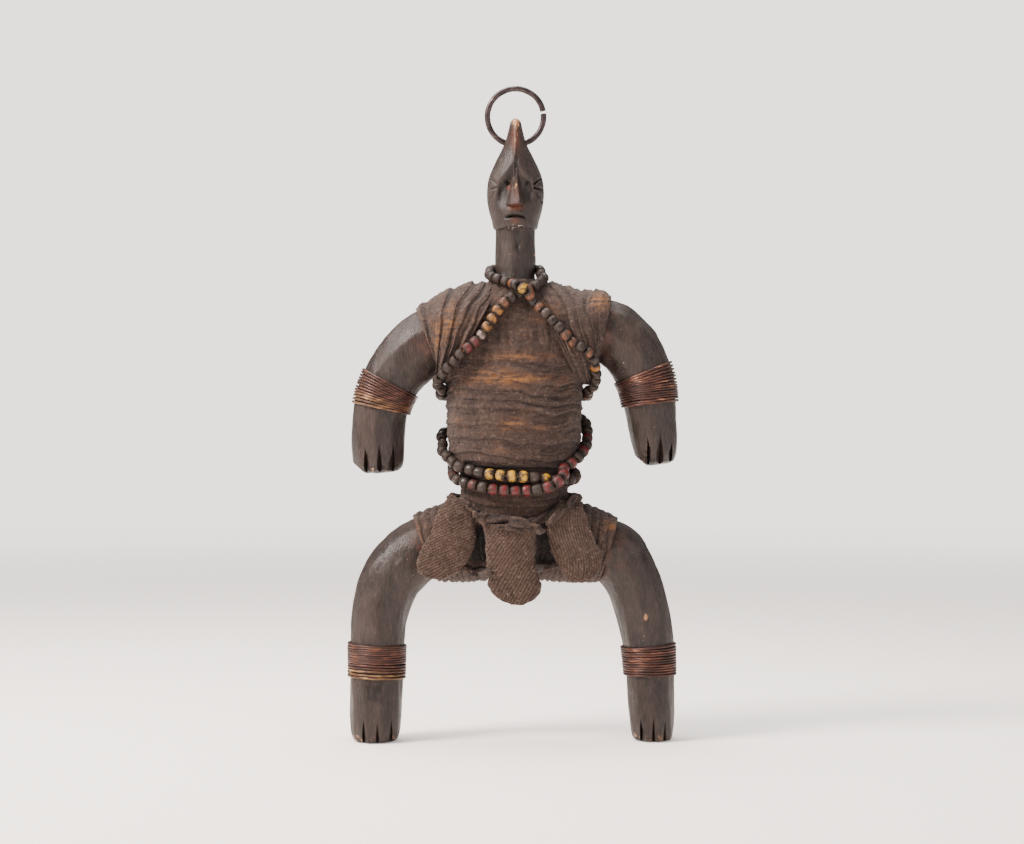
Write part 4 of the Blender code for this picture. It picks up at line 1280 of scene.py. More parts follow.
def even_line(places: list, length: float, first: Accent) -> tuple[np.ndarray, float]:
    """Points at whole bead lengths along a closed line, one at an accent, and the length that they got.

    Args:
        places: the places on the line.
        length: a bead's length.
        first: the accent that a point meets.

    Returns:
        The points, and the length that they got.
    """
    line = smooth_path(np.array([tuple(p) for p in places]), 6, closed=True)
    line = np.concatenate((line, line[:1]))
    reach = np.concatenate(([0.0], np.cumsum(np.linalg.norm(np.diff(line, axis=0), axis=1))))
    count = round(reach[-1] / length)
    away = np.hypot(line[:, 0] - SLIDE[0] - first.x, line[:, 2] - first.z) + 99.0 * (line[:, 1] > 0)
    at = (reach[np.argmin(away)] + np.arange(count) * reach[-1] / count) % reach[-1]
    return np.stack([np.interp(at, reach, line[:, k]) for k in range(3)], axis=-1), reach[-1] / count


class NodeTree:
    """Adds and links nodes in a shader or geometry tree."""

    def __init__(self, tree: bpy.types.NodeTree) -> None:
        """Keeps the tree that nodes are added to."""
        self.tree = tree

    def add(
        self, kind: str, inputs: dict | None = None, stops: list | None = None,
        interpolation: str = "LINEAR", **settings
    ) -> bpy.types.Node:
        """A node with settings, whose inputs are values or other nodes' outputs.

        Args:
            kind: the node's type.
            inputs: values or outputs for its inputs.
            stops: a colour ramp's places and hex codes.
            interpolation: how a colour ramp blends.
            settings: the node's properties.

        Returns:
            The node.
        """
        node = self.tree.nodes.new(kind)
        for key, value in settings.items():
            setattr(node, key, value)
        if stops:
            node.color_ramp.interpolation = interpolation
            self.spread(node.color_ramp.elements, stops)
        for key, value in (inputs or {}).items():
            self.put(node.inputs[key], value)
        return node

    @staticmethod
    def spread(elements: bpy.types.ColorRampElements, stops: list) -> None:
        """Gives a colour ramp its colours.

        Args:
            elements: the ramp's elements.
            stops: places and hex codes.
        """
        while len(elements) < len(stops):
            elements.new(0.5)
        for element, (place, code) in zip(elements, stops):
            element.position = place
            element.color = linear(code)

    def out(
        self, kind: str, inputs: dict | None = None, socket: int | str = 0, **settings
    ) -> bpy.types.NodeSocket:
        """An output of a new shader node, added in the same way.

        Args:
            kind: the node's type, without what all shader nodes' types begin with.
            inputs: values or outputs for its inputs.
            socket: its output.
            settings: the node's properties, or a colour ramp's stops.

        Returns:
            The output.
        """
        return self.add("ShaderNode" + kind, inputs, **settings).outputs[socket]

    def put(self, socket: bpy.types.NodeSocket, value: Socket) -> None:
        """Sets a socket, or links an output to it.

        Args:
            socket: the socket.
            value: a value or an output.
        """
        if isinstance(value, bpy.types.NodeSocket):
            self.tree.links.new(value, socket)
        else:
            socket.default_value = value


def linear(code: str) -> tuple[float, float, float, float]:
    """A linear colour from an sRGB hex code."""
    channels = [int(code[i:i + 2], 16) / 255 for i in (1, 3, 5)]
    return (*(c / 12.92 if c <= 0.04045 else ((c + 0.055) / 1.055) ** 2.4 for c in channels), 1.0)


DISTANCE = linear("#ece5e0")
DISTANCE_GLOW = 3.0


def group_io(group: bpy.types.NodeTree, inputs: dict, result: str = "Geometry") -> None:
    """Declares a geometry group's inputs with their socket kinds and values, and its output.

    Args:
        group: the group.
        inputs: kind and value of each input.
        result: the output's name.
    """
    for name, (kind, value) in inputs.items():
        socket = group.interface.new_socket(name, in_out="INPUT", socket_type=kind)
        if value is not None:
            socket.default_value = value
    group.interface.new_socket(result, in_out="OUTPUT", socket_type="NodeSocketGeometry")


def applied(piece: bpy.types.Object, group: bpy.types.NodeTree, values: dict) -> bpy.types.Object:
    """Runs a geometry group on a piece and keeps the result as its plain mesh.

    Args:
        piece: the piece.
        group: the group.
        values: values for its inputs.

    Returns:
        The piece.
    """
    modifier = piece.modifiers.new(group.name, "NODES")
    modifier.node_group = group
    for item in group.interface.items_tree:
        if item.item_type == "SOCKET" and item.in_out == "INPUT" and item.name in values:
            modifier[item.identifier] = values[item.name]
    piece.update_tag()
    evaluated = piece.evaluated_get(bpy.context.evaluated_depsgraph_get())
    mesh = bpy.data.meshes.new_from_object(evaluated)
    piece.modifiers.remove(modifier)
    piece.data = mesh
    return piece


def bead_mesh() -> bpy.types.Object:
    """A barrel bead one unit across and one long, along Z, with a hole.

    Returns:
        The bead.
    """
    profile = [
        (0.13, -0.40), (0.22, -0.465), (0.33, -0.44), (0.42, -0.35), (0.48, -0.19), (0.5, 0.0),
        (0.48, 0.19), (0.42, 0.35), (0.33, 0.44), (0.22, 0.465), (0.13, 0.40),
    ]
    turn = circle(22)
    rings = np.array([[(r * math.cos(a), r * math.sin(a), z) for a in turn] for r, z in profile])
    parts = MeshParts()
    parts.tube(rings, closed=True, rim=np.abs(rings[..., 2]) * 2)
    bead = parts.build("bead")
    for vertex, point in zip(bead.data.vertices, rings.reshape(-1, 3)):
        vertex.co = point
    return bead


def bead_group() -> bpy.types.NodeTree:
    """Geometry nodes that thread a bead on every point of a closed line, and a cord through them.

    Returns:
        The group.
    """
    group = bpy.data.node_groups.new("bead_string", "GeometryNodeTree")
    group_io(group, {
        "Line": ("NodeSocketGeometry", None),
        "Bead": ("NodeSocketObject", None),
        "Cord radius": ("NodeSocketFloat", 0.4 * MM),
        "Jitter seed": ("NodeSocketInt", 7),
        "Material": ("NodeSocketMaterial", None),
    })
    nodes = NodeTree(group)
    source = nodes.add("NodeGroupInput").outputs
    size, along = (
        nodes.add("GeometryNodeInputNamedAttribute", {"Name": name}, data_type="FLOAT_VECTOR").outputs[0]
        for name in ("size", "along")
    )
    turned = nodes.add("FunctionNodeAlignRotationToVector", {"Vector": along}, axis="Z").outputs[0]
    spin = nodes.add(
        "FunctionNodeRandomValue", {2: -3.1, 3: 3.1, "Seed": source["Jitter seed"]}, data_type="FLOAT"
    ).outputs[1]
    tilt = nodes.add("ShaderNodeCombineXYZ", {"Z": spin}).outputs[0]
    rotated = nodes.add(
        "FunctionNodeRotateRotation",
        {"Rotation": turned, "Rotate By": nodes.add("FunctionNodeEulerToRotation", {0: tilt}).outputs[0]},
        rotation_space="LOCAL",
    ).outputs[0]
    bead = nodes.add("GeometryNodeObjectInfo", {"Object": source["Bead"]}).outputs["Geometry"]
    points = nodes.add("GeometryNodeMeshToPoints", {"Mesh": source["Line"]}).outputs[0]
    placed = nodes.add(
        "GeometryNodeInstanceOnPoints",
        {"Points": points, "Instance": bead, "Rotation": rotated, "Scale": size},
    ).outputs[0]
    beads = nodes.add("GeometryNodeRealizeInstances", {"Geometry": placed}).outputs[0]
    line = nodes.add("GeometryNodeMeshToCurve", {"Mesh": source["Line"]}).outputs[0]
    round_cord = nodes.add(
        "GeometryNodeCurvePrimitiveCircle", {"Radius": source["Cord radius"], "Resolution": 7}
    ).outputs[0]
    cord = nodes.add("GeometryNodeCurveToMesh", {"Curve": line, "Profile Curve": round_cord}).outputs[0]
    joined = nodes.add("GeometryNodeJoinGeometry")
    for part in (beads, cord):
        group.links.new(part, joined.inputs[0])
    done = nodes.add(
        "GeometryNodeSetMaterial", {"Geometry": joined.outputs[0], "Material": source["Material"]}
    )
    nodes.add("NodeGroupOutput", {"Geometry": done.outputs[0]})
    return group


@dataclass(frozen=True)
class BeadString:
    """One string of beads: its route, its beads' sizes and colours, and how many knots lie over the rest."""

    name: str
    route: tuple
    diameter: float
    length: float
    accents: list
    seed: int
    crossing: int = 0

    def build(
        self, places: list, group: bpy.types.NodeTree, finish: bpy.types.Material, bead: bpy.types.Object
    ) -> bpy.types.Object:
        """Threads the beads, each with its own size and colour.

        Args:
            places: where it lies.
            group: the geometry group.
            finish: its material.
            bead: the bead to thread.

        Returns:
            The string.
        """
        centres, length = even_line(places, self.length, self.accents[0])
        count = len(centres)
        random = np.random.default_rng(self.seed)
        along = np.roll(centres, -1, axis=0) - np.roll(centres, 1, axis=0)
        along /= np.linalg.norm(along, axis=1, keepdims=True)
        along += random.normal(0.0, 0.05, along.shape)
        wide = self.diameter * random.uniform(0.90, 1.03, count)
        tall = length * random.uniform(0.94, 1.05, count)
        tint = np.where(random.random(count) < 0.72, Glass.GRIME.value, Glass.SMOKE.value)
        tint = tint + random.uniform(-0.04, 0.06, count)
        tint[random.random(count) < 0.07] = Glass.BROWN.value
        for accent in self.accents:
            away = np.hypot(centres[:, 0] - SLIDE[0] - accent.x, centres[:, 2] - accent.z)
            away[centres[:, 1] > 0] = 99.0
            tint[np.argmin(away)] = accent.glass.value
        mesh = bpy.data.meshes.new(self.name)
        loop = [(i, (i + 1) % count) for i in range(count)]
        mesh.from_pydata((centres * MM).tolist(), loop, [])
        sizes = np.stack((wide, wide, tall), axis=-1) * MM
        mesh.attributes.new("size", "FLOAT_VECTOR", "POINT").data.foreach_set("vector", sizes.reshape(-1))
        mesh.attributes.new("along", "FLOAT_VECTOR", "POINT").data.foreach_set("vector", along.reshape(-1))
        mesh.attributes.new("tint", "FLOAT", "POINT").data.foreach_set("value", tint)
        LOG.info("%s: %d beads on %.0f mm of cord", self.name, count, count * length)
        string = bpy.data.objects.new(self.name, mesh)
        bpy.context.scene.collection.objects.link(string)
        applied(string, group, {
            "Bead": bead, "Cord radius": 0.4 * MM, "Jitter seed": self.seed, "Material": finish,
        })
        turn_outwards(string)
        return string


def wire_group() -> bpy.types.NodeTree:
    """Geometry nodes that sweep a round wire along a line.

    Returns:
        The group.
    """
    group = bpy.data.node_groups.new("wound_wire", "GeometryNodeTree")
    group_io(group, {
        "Line": ("NodeSocketGeometry", None),
        "Wire radius": ("NodeSocketFloat", 0.6 * MM),
        "Sides": ("NodeSocketInt", 9),
        "Material": ("NodeSocketMaterial", None),
    })
    nodes = NodeTree(group)
    source = nodes.add("NodeGroupInput").outputs
    line = nodes.add("GeometryNodeMeshToCurve", {"Mesh": source["Line"]}).outputs[0]
    profile = nodes.add(
        "GeometryNodeCurvePrimitiveCircle", {"Radius": source["Wire radius"], "Resolution": source["Sides"]}
    ).outputs[0]
    wire = nodes.add(
        "GeometryNodeCurveToMesh", {"Curve": line, "Profile Curve": profile, "Fill Caps": True}
    ).outputs[0]
    whole = nodes.add("GeometryNodeRealizeInstances", {"Geometry": wire}).outputs[0]
    done = nodes.add("GeometryNodeSetMaterial", {"Geometry": whole, "Material": source["Material"]})
    nodes.add("NodeGroupOutput", {"Geometry": done.outputs[0]})
    return group


@dataclass(frozen=True)
class WireWinding:
    """A wire wound round a limb: where it starts and ends in knots, its turns and its brass share."""

    name: str
    knots: tuple
    start: float
    end: float
    turns: float
    brass: float
    thickness: float = 1.2

    def build(self, group: bpy.types.NodeTree, finish: bpy.types.Material) -> bpy.types.Object:
        """Winds the wire side by side, with small slips between turns.

        Args:
            group: the geometry group.
            finish: its material.

        Returns:
            The wire.
        """
        path = smooth_path(self.knots, 24)
        along = np.gradient(path[:, (0, 2)], axis=0)
        along /= np.linalg.norm(along, axis=1, keepdims=True)
        steps = round(self.turns * 44)
        share = np.linspace(0.0, 1.0, steps)
        slip = Noise(51)
        turn = 2 * math.pi * self.turns * share + 0.7
        drift = 0.35 * slip(np.stack((share * 40, turn * 0.0, turn * 0.2), axis=-1), (1.0, 1.0, 1.0))
        at = (self.start + (self.end - self.start) * share) * 24 + drift * (self.end > 0)
        rows = np.stack([np.interp(at, np.arange(len(path)), path[:, k]) for k in range(5)], axis=-1)
        tangent = np.stack([np.interp(at, np.arange(len(path)), along[:, k]) for k in range(2)], axis=-1)
        grow = FIT_GAP * 0.6 + self.thickness / 2
        side = np.stack((-tangent[:, 1], np.zeros(steps), tangent[:, 0]), axis=-1)
        line = rows[:, :3] + side * ((rows[:, 3] + grow) * np.cos(turn))[:, None]
        line[:, 1] += (rows[:, 4] + grow) * np.sin(turn)
        mesh = bpy.data.meshes.new(self.name)
        edges = [(i, i + 1) for i in range(steps - 1)]
        mesh.from_pydata(((line + SLIDE) * MM).tolist(), edges, [])
        middle = 1.0 - self.brass
        brass = ramp(share, middle - 0.05, middle + 0.05) if self.brass else 0 * share
        brass = brass * (0.45 + 0.55 * slip(np.stack((turn, turn, turn), axis=-1) + 5.0, (2.1, 2.3, 2.2)))
        mesh.attributes.new("brass", "FLOAT", "POINT").data.foreach_set("value", brass)
        wire = bpy.data.objects.new(self.name, mesh)
        bpy.context.scene.collection.objects.link(wire)
        applied(wire, group, {"Wire radius": self.thickness * 0.5 * MM, "Sides": 10, "Material": finish})
        turn_outwards(wire)
        return wire


def twisted_rag(line: np.ndarray, radius: np.ndarray, turns: float, cloth: Cloth, closed: bool) -> tuple:
    """Rings of a twisted rag along a line, and each point's painted shade from how far it stands out.

    Args:
        line: the rag's middle line.
        radius: its radius along the line.
        turns: how often it twists.
        cloth: its noise.
        closed: whether it joins itself.

    Returns:
        The rings and their shade.
    """
    if closed:
        along = np.roll(line, -1, axis=0) - np.roll(line, 1, axis=0)
    else:
        along = np.gradient(line, axis=0)
    along /= np.linalg.norm(along, axis=1, keepdims=True)
    out = line * np.array((1.0, 1.0, 0.0))
    out -= along * np.sum(out * along, axis=1, keepdims=True)
    out /= np.linalg.norm(out, axis=1, keepdims=True)
    across = np.cross(along, out)
    a = circle(26)
    twist = np.linspace(0, 2 * math.pi * turns, len(line), endpoint=not closed)[:, None]
    lobes = (0.24 if closed else 0.15) * np.cos(3 * a[None, :] + twist)
    thick = radius[:, None] * (1.0 + lobes)
    rings = line[:, None, :] + out[:, None, :] * (thick * np.cos(a))[..., None]
    rings = rings + across[:, None, :] * (thick * np.sin(a))[..., None]
    crust = cloth.crust(rings, 0.26 if closed else 0.42)
    rings += grid_normals(rings) * crust[..., None]
    return rings, np.clip(0.5 + 1.6 * lobes + 0.8 * crust, 0.0, 1.0)


def belt_line(places: list, steps: int, closed: bool = True) -> np.ndarray:
    """A smooth line through places on the doll."""
    return smooth_path(np.array([tuple(p) for p in places]), steps, closed=closed) - SLIDE


def fray(root: np.ndarray, radius: float, random: np.random.Generator) -> np.ndarray:
    """A loose thread that curls away from a rag and hangs down.

    Args:
        root: where the thread starts.
        radius: the rag's radius.
        random: the source of chance.

    Returns:
        The thread's rings.
    """
    way = random.normal(0.0, 1.0, 3) * (1.0, 0.35, 1.0) - (0.0, 0.55, 0.25)
    way /= np.linalg.norm(way)
    bend = random.normal(0.0, 0.5, 3) - (0.0, 0.0, 0.5)
    share = np.linspace(0.0, 1.0, 8)[:, None]
    line = root + way * (radius * 0.5 + share * random.uniform(1.4, 3.4)) + bend * share**2 * 1.3
    a = circle(5)
    along = np.gradient(line, axis=0)
    side = np.cross(along, (0.3, 0.9, 0.2))
    side /= np.linalg.norm(side, axis=1, keepdims=True)
    over = np.cross(along, side)
    over /= np.linalg.norm(over, axis=1, keepdims=True)
    thick = 0.17 - 0.09 * share[:, :, None]
    return line[:, None, :] + thick * (
        side[:, None, :] * np.cos(a)[None, :, None] + over[:, None, :] * np.sin(a)[None, :, None]
    )


@dataclass(frozen=True)
class RagBelt:
    """A rag twisted into a belt, with the rags and frayed ends that lie over it."""

    radius: float = 1.75
    twists: float = 16.0

    def build(self, places: list, extras: list) -> bpy.types.Object:
        """Makes the belt.

        Args:
            places: the belt's places.
            extras: lines, radii and threads of the rags over it.

        Returns:
            The belt.
        """
        cloth = Cloth(61)
        parts = MeshParts()
        line = belt_line(places, 9)
        LOG.info("belt of %.0f mm", np.linalg.norm(np.roll(line, -1, axis=0) - line, axis=1).sum())
        rings, relief = twisted_rag(line, np.full(len(line), self.radius), self.twists, cloth, True)
        parts.tube(rings, closed=True, relief=relief)
        for line, radius, frays in extras:
            share = np.linspace(0.0, 1.0, len(line))
            taper = np.sqrt(np.clip(1.0 - (2 * share - 1) ** 4, 0.04, 1.0))
            lumps = 1.0 + 0.25 * cloth.noise(line, (2.6, 2.6, 2.6))
            rings, relief = twisted_rag(line, radius * taper * lumps, len(line) / 22.0, cloth, False)
            parts.tube(rings, relief=relief)
            for _ in range(frays):
                root = line[cloth.random.integers(2, len(line) - 2)]
                parts.tube(fray(root, radius, cloth.random), relief=0.85)
        return parts.build("twisted_rag_belt")


@dataclass(frozen=True)
class RibbedFlap:
    """One ribbed flap: its rows, how its ribs run and its cloth's thickness."""

    name: str
    rows: tuple
    rib_angle: float
    seed: int
    rib_pitch: float = 1.46
    thickness: float = 1.6

    def build(self, surface: Surface) -> bpy.types.Object:
        """Hangs the flap from the belt, so that it lies on the hip.

        Args:
            surface: what it lies on.

        Returns:
            The flap.
        """
        cloth = Cloth(self.seed)
        rows = smooth_path(self.rows, 25)
        count = len(rows)
        lean_x = math.copysign(FLAP_LEAN, self.rows[0][0]) if abs(self.rows[0][0]) > 10 else 0.0
        lean = Vector((lean_x, -1.0, 0.0)).normalized()
        rows[:, 0] -= lean.x * FLAP_STANDOFF
        marks = np.linspace(0, count - 1, 15).round().astype(int)
        fronts = []
        for i in marks:
            x, z, half = rows[i]
            fronts.append(max(surface.front(x + SLIDE[0] + half * t, z, lean) for t in np.linspace(-1, 1, 9)))
        for i in range(1, len(fronts)):
            fronts[i] = max(fronts[i], fronts[i - 1] - 0.5)
        spread = np.convolve(np.pad(fronts, 1, mode="edge"), (0.25, 0.5, 0.25), mode="valid")
        front = np.interp(np.arange(count), marks, np.maximum(spread, fronts)) + 0.35
        s = np.linspace(-1.0, 1.0, 104)
        tip = np.arange(count) / (count - 1)
        across = rows[:, 2:3] * s[None, :]
        wander = 0.5 * cloth.noise(np.stack((0 * tip, 0 * tip, tip * 40.0), axis=-1), (3.0, 3.0, 3.0))
        x = rows[:, :1] + across + wander[:, None] * s[None, :]
        z = rows[:, 1:2] + 0.0 * across + 0.6 * np.sin(tip * 9 + self.seed)[:, None] * s[None, :] ** 2
        flat = np.stack((x, 0 * x, z), axis=-1)
        curl = -0.02 * across**2 * np.clip(1.2 - tip, 0.2, 1.0)[:, None]
        billow = 0.7 * cloth.noise(flat, (8.0, 8.0, 12.0))
        depth = front[:, None] + curl + billow - 0.35
        middle = x - rows[:, :1]
        bend = 0.45 * cloth.noise(flat + 9.0, (8.0, 8.0, 8.0))
        rib_place = middle * math.cos(self.rib_angle) + (z - rows[0, 1]) * math.sin(self.rib_angle) + bend
        if self.rib_angle == 0.0:
            rib_place = middle + 0.25 * bend
        phase = rib_place * math.pi / self.rib_pitch
        rib = np.abs(np.sin(phase)) ** 0.8
        thread = 0.5 + 0.5 * np.sin(
            (middle * math.sin(self.rib_angle) - (z - rows[0, 1]) * math.cos(self.rib_angle)) * math.pi / 0.55
            + np.floor(phase / math.pi) * math.pi / 2
        )
        crust = cloth.crust(flat, 0.09)
        relief = 0.36 * rib * (0.7 + 0.3 * thread) + crust
        hem = np.minimum(ramp(1 - np.abs(s), 0.0, 0.09)[None, :], ramp(tip, 1.0, 0.97)[:, None])
        out = depth + (self.thickness - 0.5) * (0.45 + 0.55 * hem) + relief * (0.35 + 0.65 * hem)
        lean_array = np.array(lean)
        outer = flat + lean_array * out[..., None]
        inner = flat + lean_array * depth[..., None]
        ragged = 0.45 * cloth.noise(outer, (0.8, 0.8, 0.8)) * (1 - hem)
        for side in (outer, inner):
            side[..., 0] += ragged * np.sign(s)[None, :]
            side[..., 2] += ragged
        # Rib tone: lighter on the ribs and darker between them as painted shade, with lighter crust lumps.
        tone = np.clip(rib * (0.45 + 0.35 * thread) + 0.2 + 3.0 * crust, 0.0, 1.0)
        parts = MeshParts()
        parts.tube(
            np.concatenate((outer, inner[:, ::-1]), axis=1), rib=np.concatenate((tone, 0 * tone), axis=1)
        )
        return parts.build(self.name)


def shader(
    name: str, roughness: float, metallic: float = 0.0
) -> tuple[bpy.types.Material, NodeTree, bpy.types.Node]:
    """A new material with its principled shader.

    Args:
        name: the material's name.
        roughness: its roughness.
        metallic: its metallic value.

    Returns:
        The material, its tree's helper and its shader.
    """
    made = bpy.data.materials.new(name)
    made.use_nodes = True
    nodes = NodeTree(made.node_tree)
    principled = made.node_tree.nodes["Principled BSDF"]
    principled.inputs["Roughness"].default_value = roughness
    principled.inputs["Metallic"].default_value = metallic
    return made, nodes, principled


class OiledWood:
    """Hardwood blackened by oil and handling, rubbed pale at the tips."""

    @staticmethod
    def make() -> bpy.types.Material:
        """Makes the material.

        Returns:
            The material.
        """
        made, nodes, principled = shader("oiled_hardwood", 0.5)
        grain_place = nodes.out(
            "Mapping", {"Vector": nodes.out("TexCoord", socket="Object"), "Scale": (1.0, 1.0, 0.14)}
        )
        place = nodes.out("Mapping", {"Vector": nodes.out("TexCoord", socket="Object")})
        grain = nodes.out(
            "TexNoise", {"Vector": grain_place, "Scale": 1500.0, "Detail": 3.0, "Roughness": 0.6}
        )
        broad = nodes.out(
            "TexNoise", {"Vector": grain_place, "Scale": 170.0, "Detail": 3.0, "Roughness": 0.5}
        )
        cloud = nodes.out("TexNoise", {"Vector": place, "Scale": 60.0, "Detail": 4.0, "Roughness": 0.6})
        dark = nodes.out(
            "ValToRGB", {"Fac": broad}, stops=[(0.3, "#17110f"), (0.5, "#231a17"), (0.72, "#332722")]
        )
        streak = nodes.out(
            "ValToRGB", {"Fac": grain}, stops=[(0.34, "#120d0b"), (0.5, "#241b18"), (0.7, "#44352e")]
        )
        skin = nodes.out("Mix", {0: 0.45, 6: dark, 7: streak}, data_type="RGBA", socket=2)
        dusty = nodes.out("MapRange", {0: cloud, 1: 0.5, 2: 0.68, 3: 0.0, 4: 0.4})
        skin = nodes.out("Mix", {0: dusty, 6: skin, 7: linear("#3e3430")}, data_type="RGBA", socket=2)
        # Painted shade, almost black, in the face's hollows and grooves and in the finger and toe cuts.
        stain = nodes.out("Attribute", attribute_name="stain", socket="Fac")
        share = nodes.out("Math", {0: stain, 1: 0.8}, operation="MULTIPLY")
        skin = nodes.out("Mix", {0: share, 6: skin, 7: linear("#0f0c0b")}, data_type="RGBA", socket=2)
        wear_edge = nodes.out("MapRange", {0: grain, 1: 0.3, 2: 0.7, 3: 0.25, 4: 1.3})
        wear = nodes.out("Attribute", attribute_name="wear", socket="Fac")
        amount = nodes.out("Math", {0: wear, 1: wear_edge}, operation="MULTIPLY")
        ragged = nodes.out("MapRange", {0: amount, 1: 0.3, 2: 0.62})
        bare = nodes.out(
            "ValToRGB", {"Fac": grain}, stops=[(0.3, "#6a4228"), (0.5, "#9a6b47"), (0.7, "#c8976e")]
        )
        red = nodes.out("Attribute", attribute_name="red", socket="Fac")
        share = nodes.out("Math", {0: red, 1: 0.7}, operation="MULTIPLY")
        base = nodes.out("Mix", {0: share, 6: skin, 7: linear("#6b3a28")}, data_type="RGBA", socket=2)
        base = nodes.out("Mix", {0: ragged, 6: base, 7: bare}, data_type="RGBA", socket=2)
        chip = nodes.out("TexNoise", {"Vector": place, "Scale": 900.0, "Detail": 2.0, "Roughness": 0.5})
        flecks = nodes.out("MapRange", {0: chip, 1: 0.765, 2: 0.79, 3: 0.0, 4: 0.6})
        amount = nodes.out("MapRange", {0: chip, 1: 0.54, 2: 0.6})
        speck = nodes.out("Attribute", attribute_name="speck", socket="Fac")
        near_chin = nodes.out("Math", {0: amount, 1: speck}, operation="MULTIPLY")
        share = nodes.out("Math", {0: flecks, 1: near_chin}, operation="ADD", use_clamp=True)
        base = nodes.out("Mix", {0: share, 6: base, 7: linear("#b5aaa0")}, data_type="RGBA", socket=2)
        nodes.put(principled.inputs["Base Color"], base)
        rough = nodes.out("MapRange", {0: cloud, 1: 0.35, 2: 0.65, 3: 0.36, 4: 0.58})
        nodes.put(principled.inputs["Roughness"], rough)
        pores = nodes.out("Bump", {"Height": grain, "Strength": 0.8, "Distance": 0.35 * MM})
        dents = nodes.out("TexNoise", {"Vector": place, "Scale": 300.0, "Detail": 3.0, "Roughness": 0.55})
        normal = nodes.out(
            "Bump", {"Height": dents, "Strength": 0.4, "Distance": 0.45 * MM, "Normal": pores}
        )
        nodes.put(principled.inputs["Normal"], normal)
        principled.inputs["Specular IOR Level"].default_value = 0.32
        return made


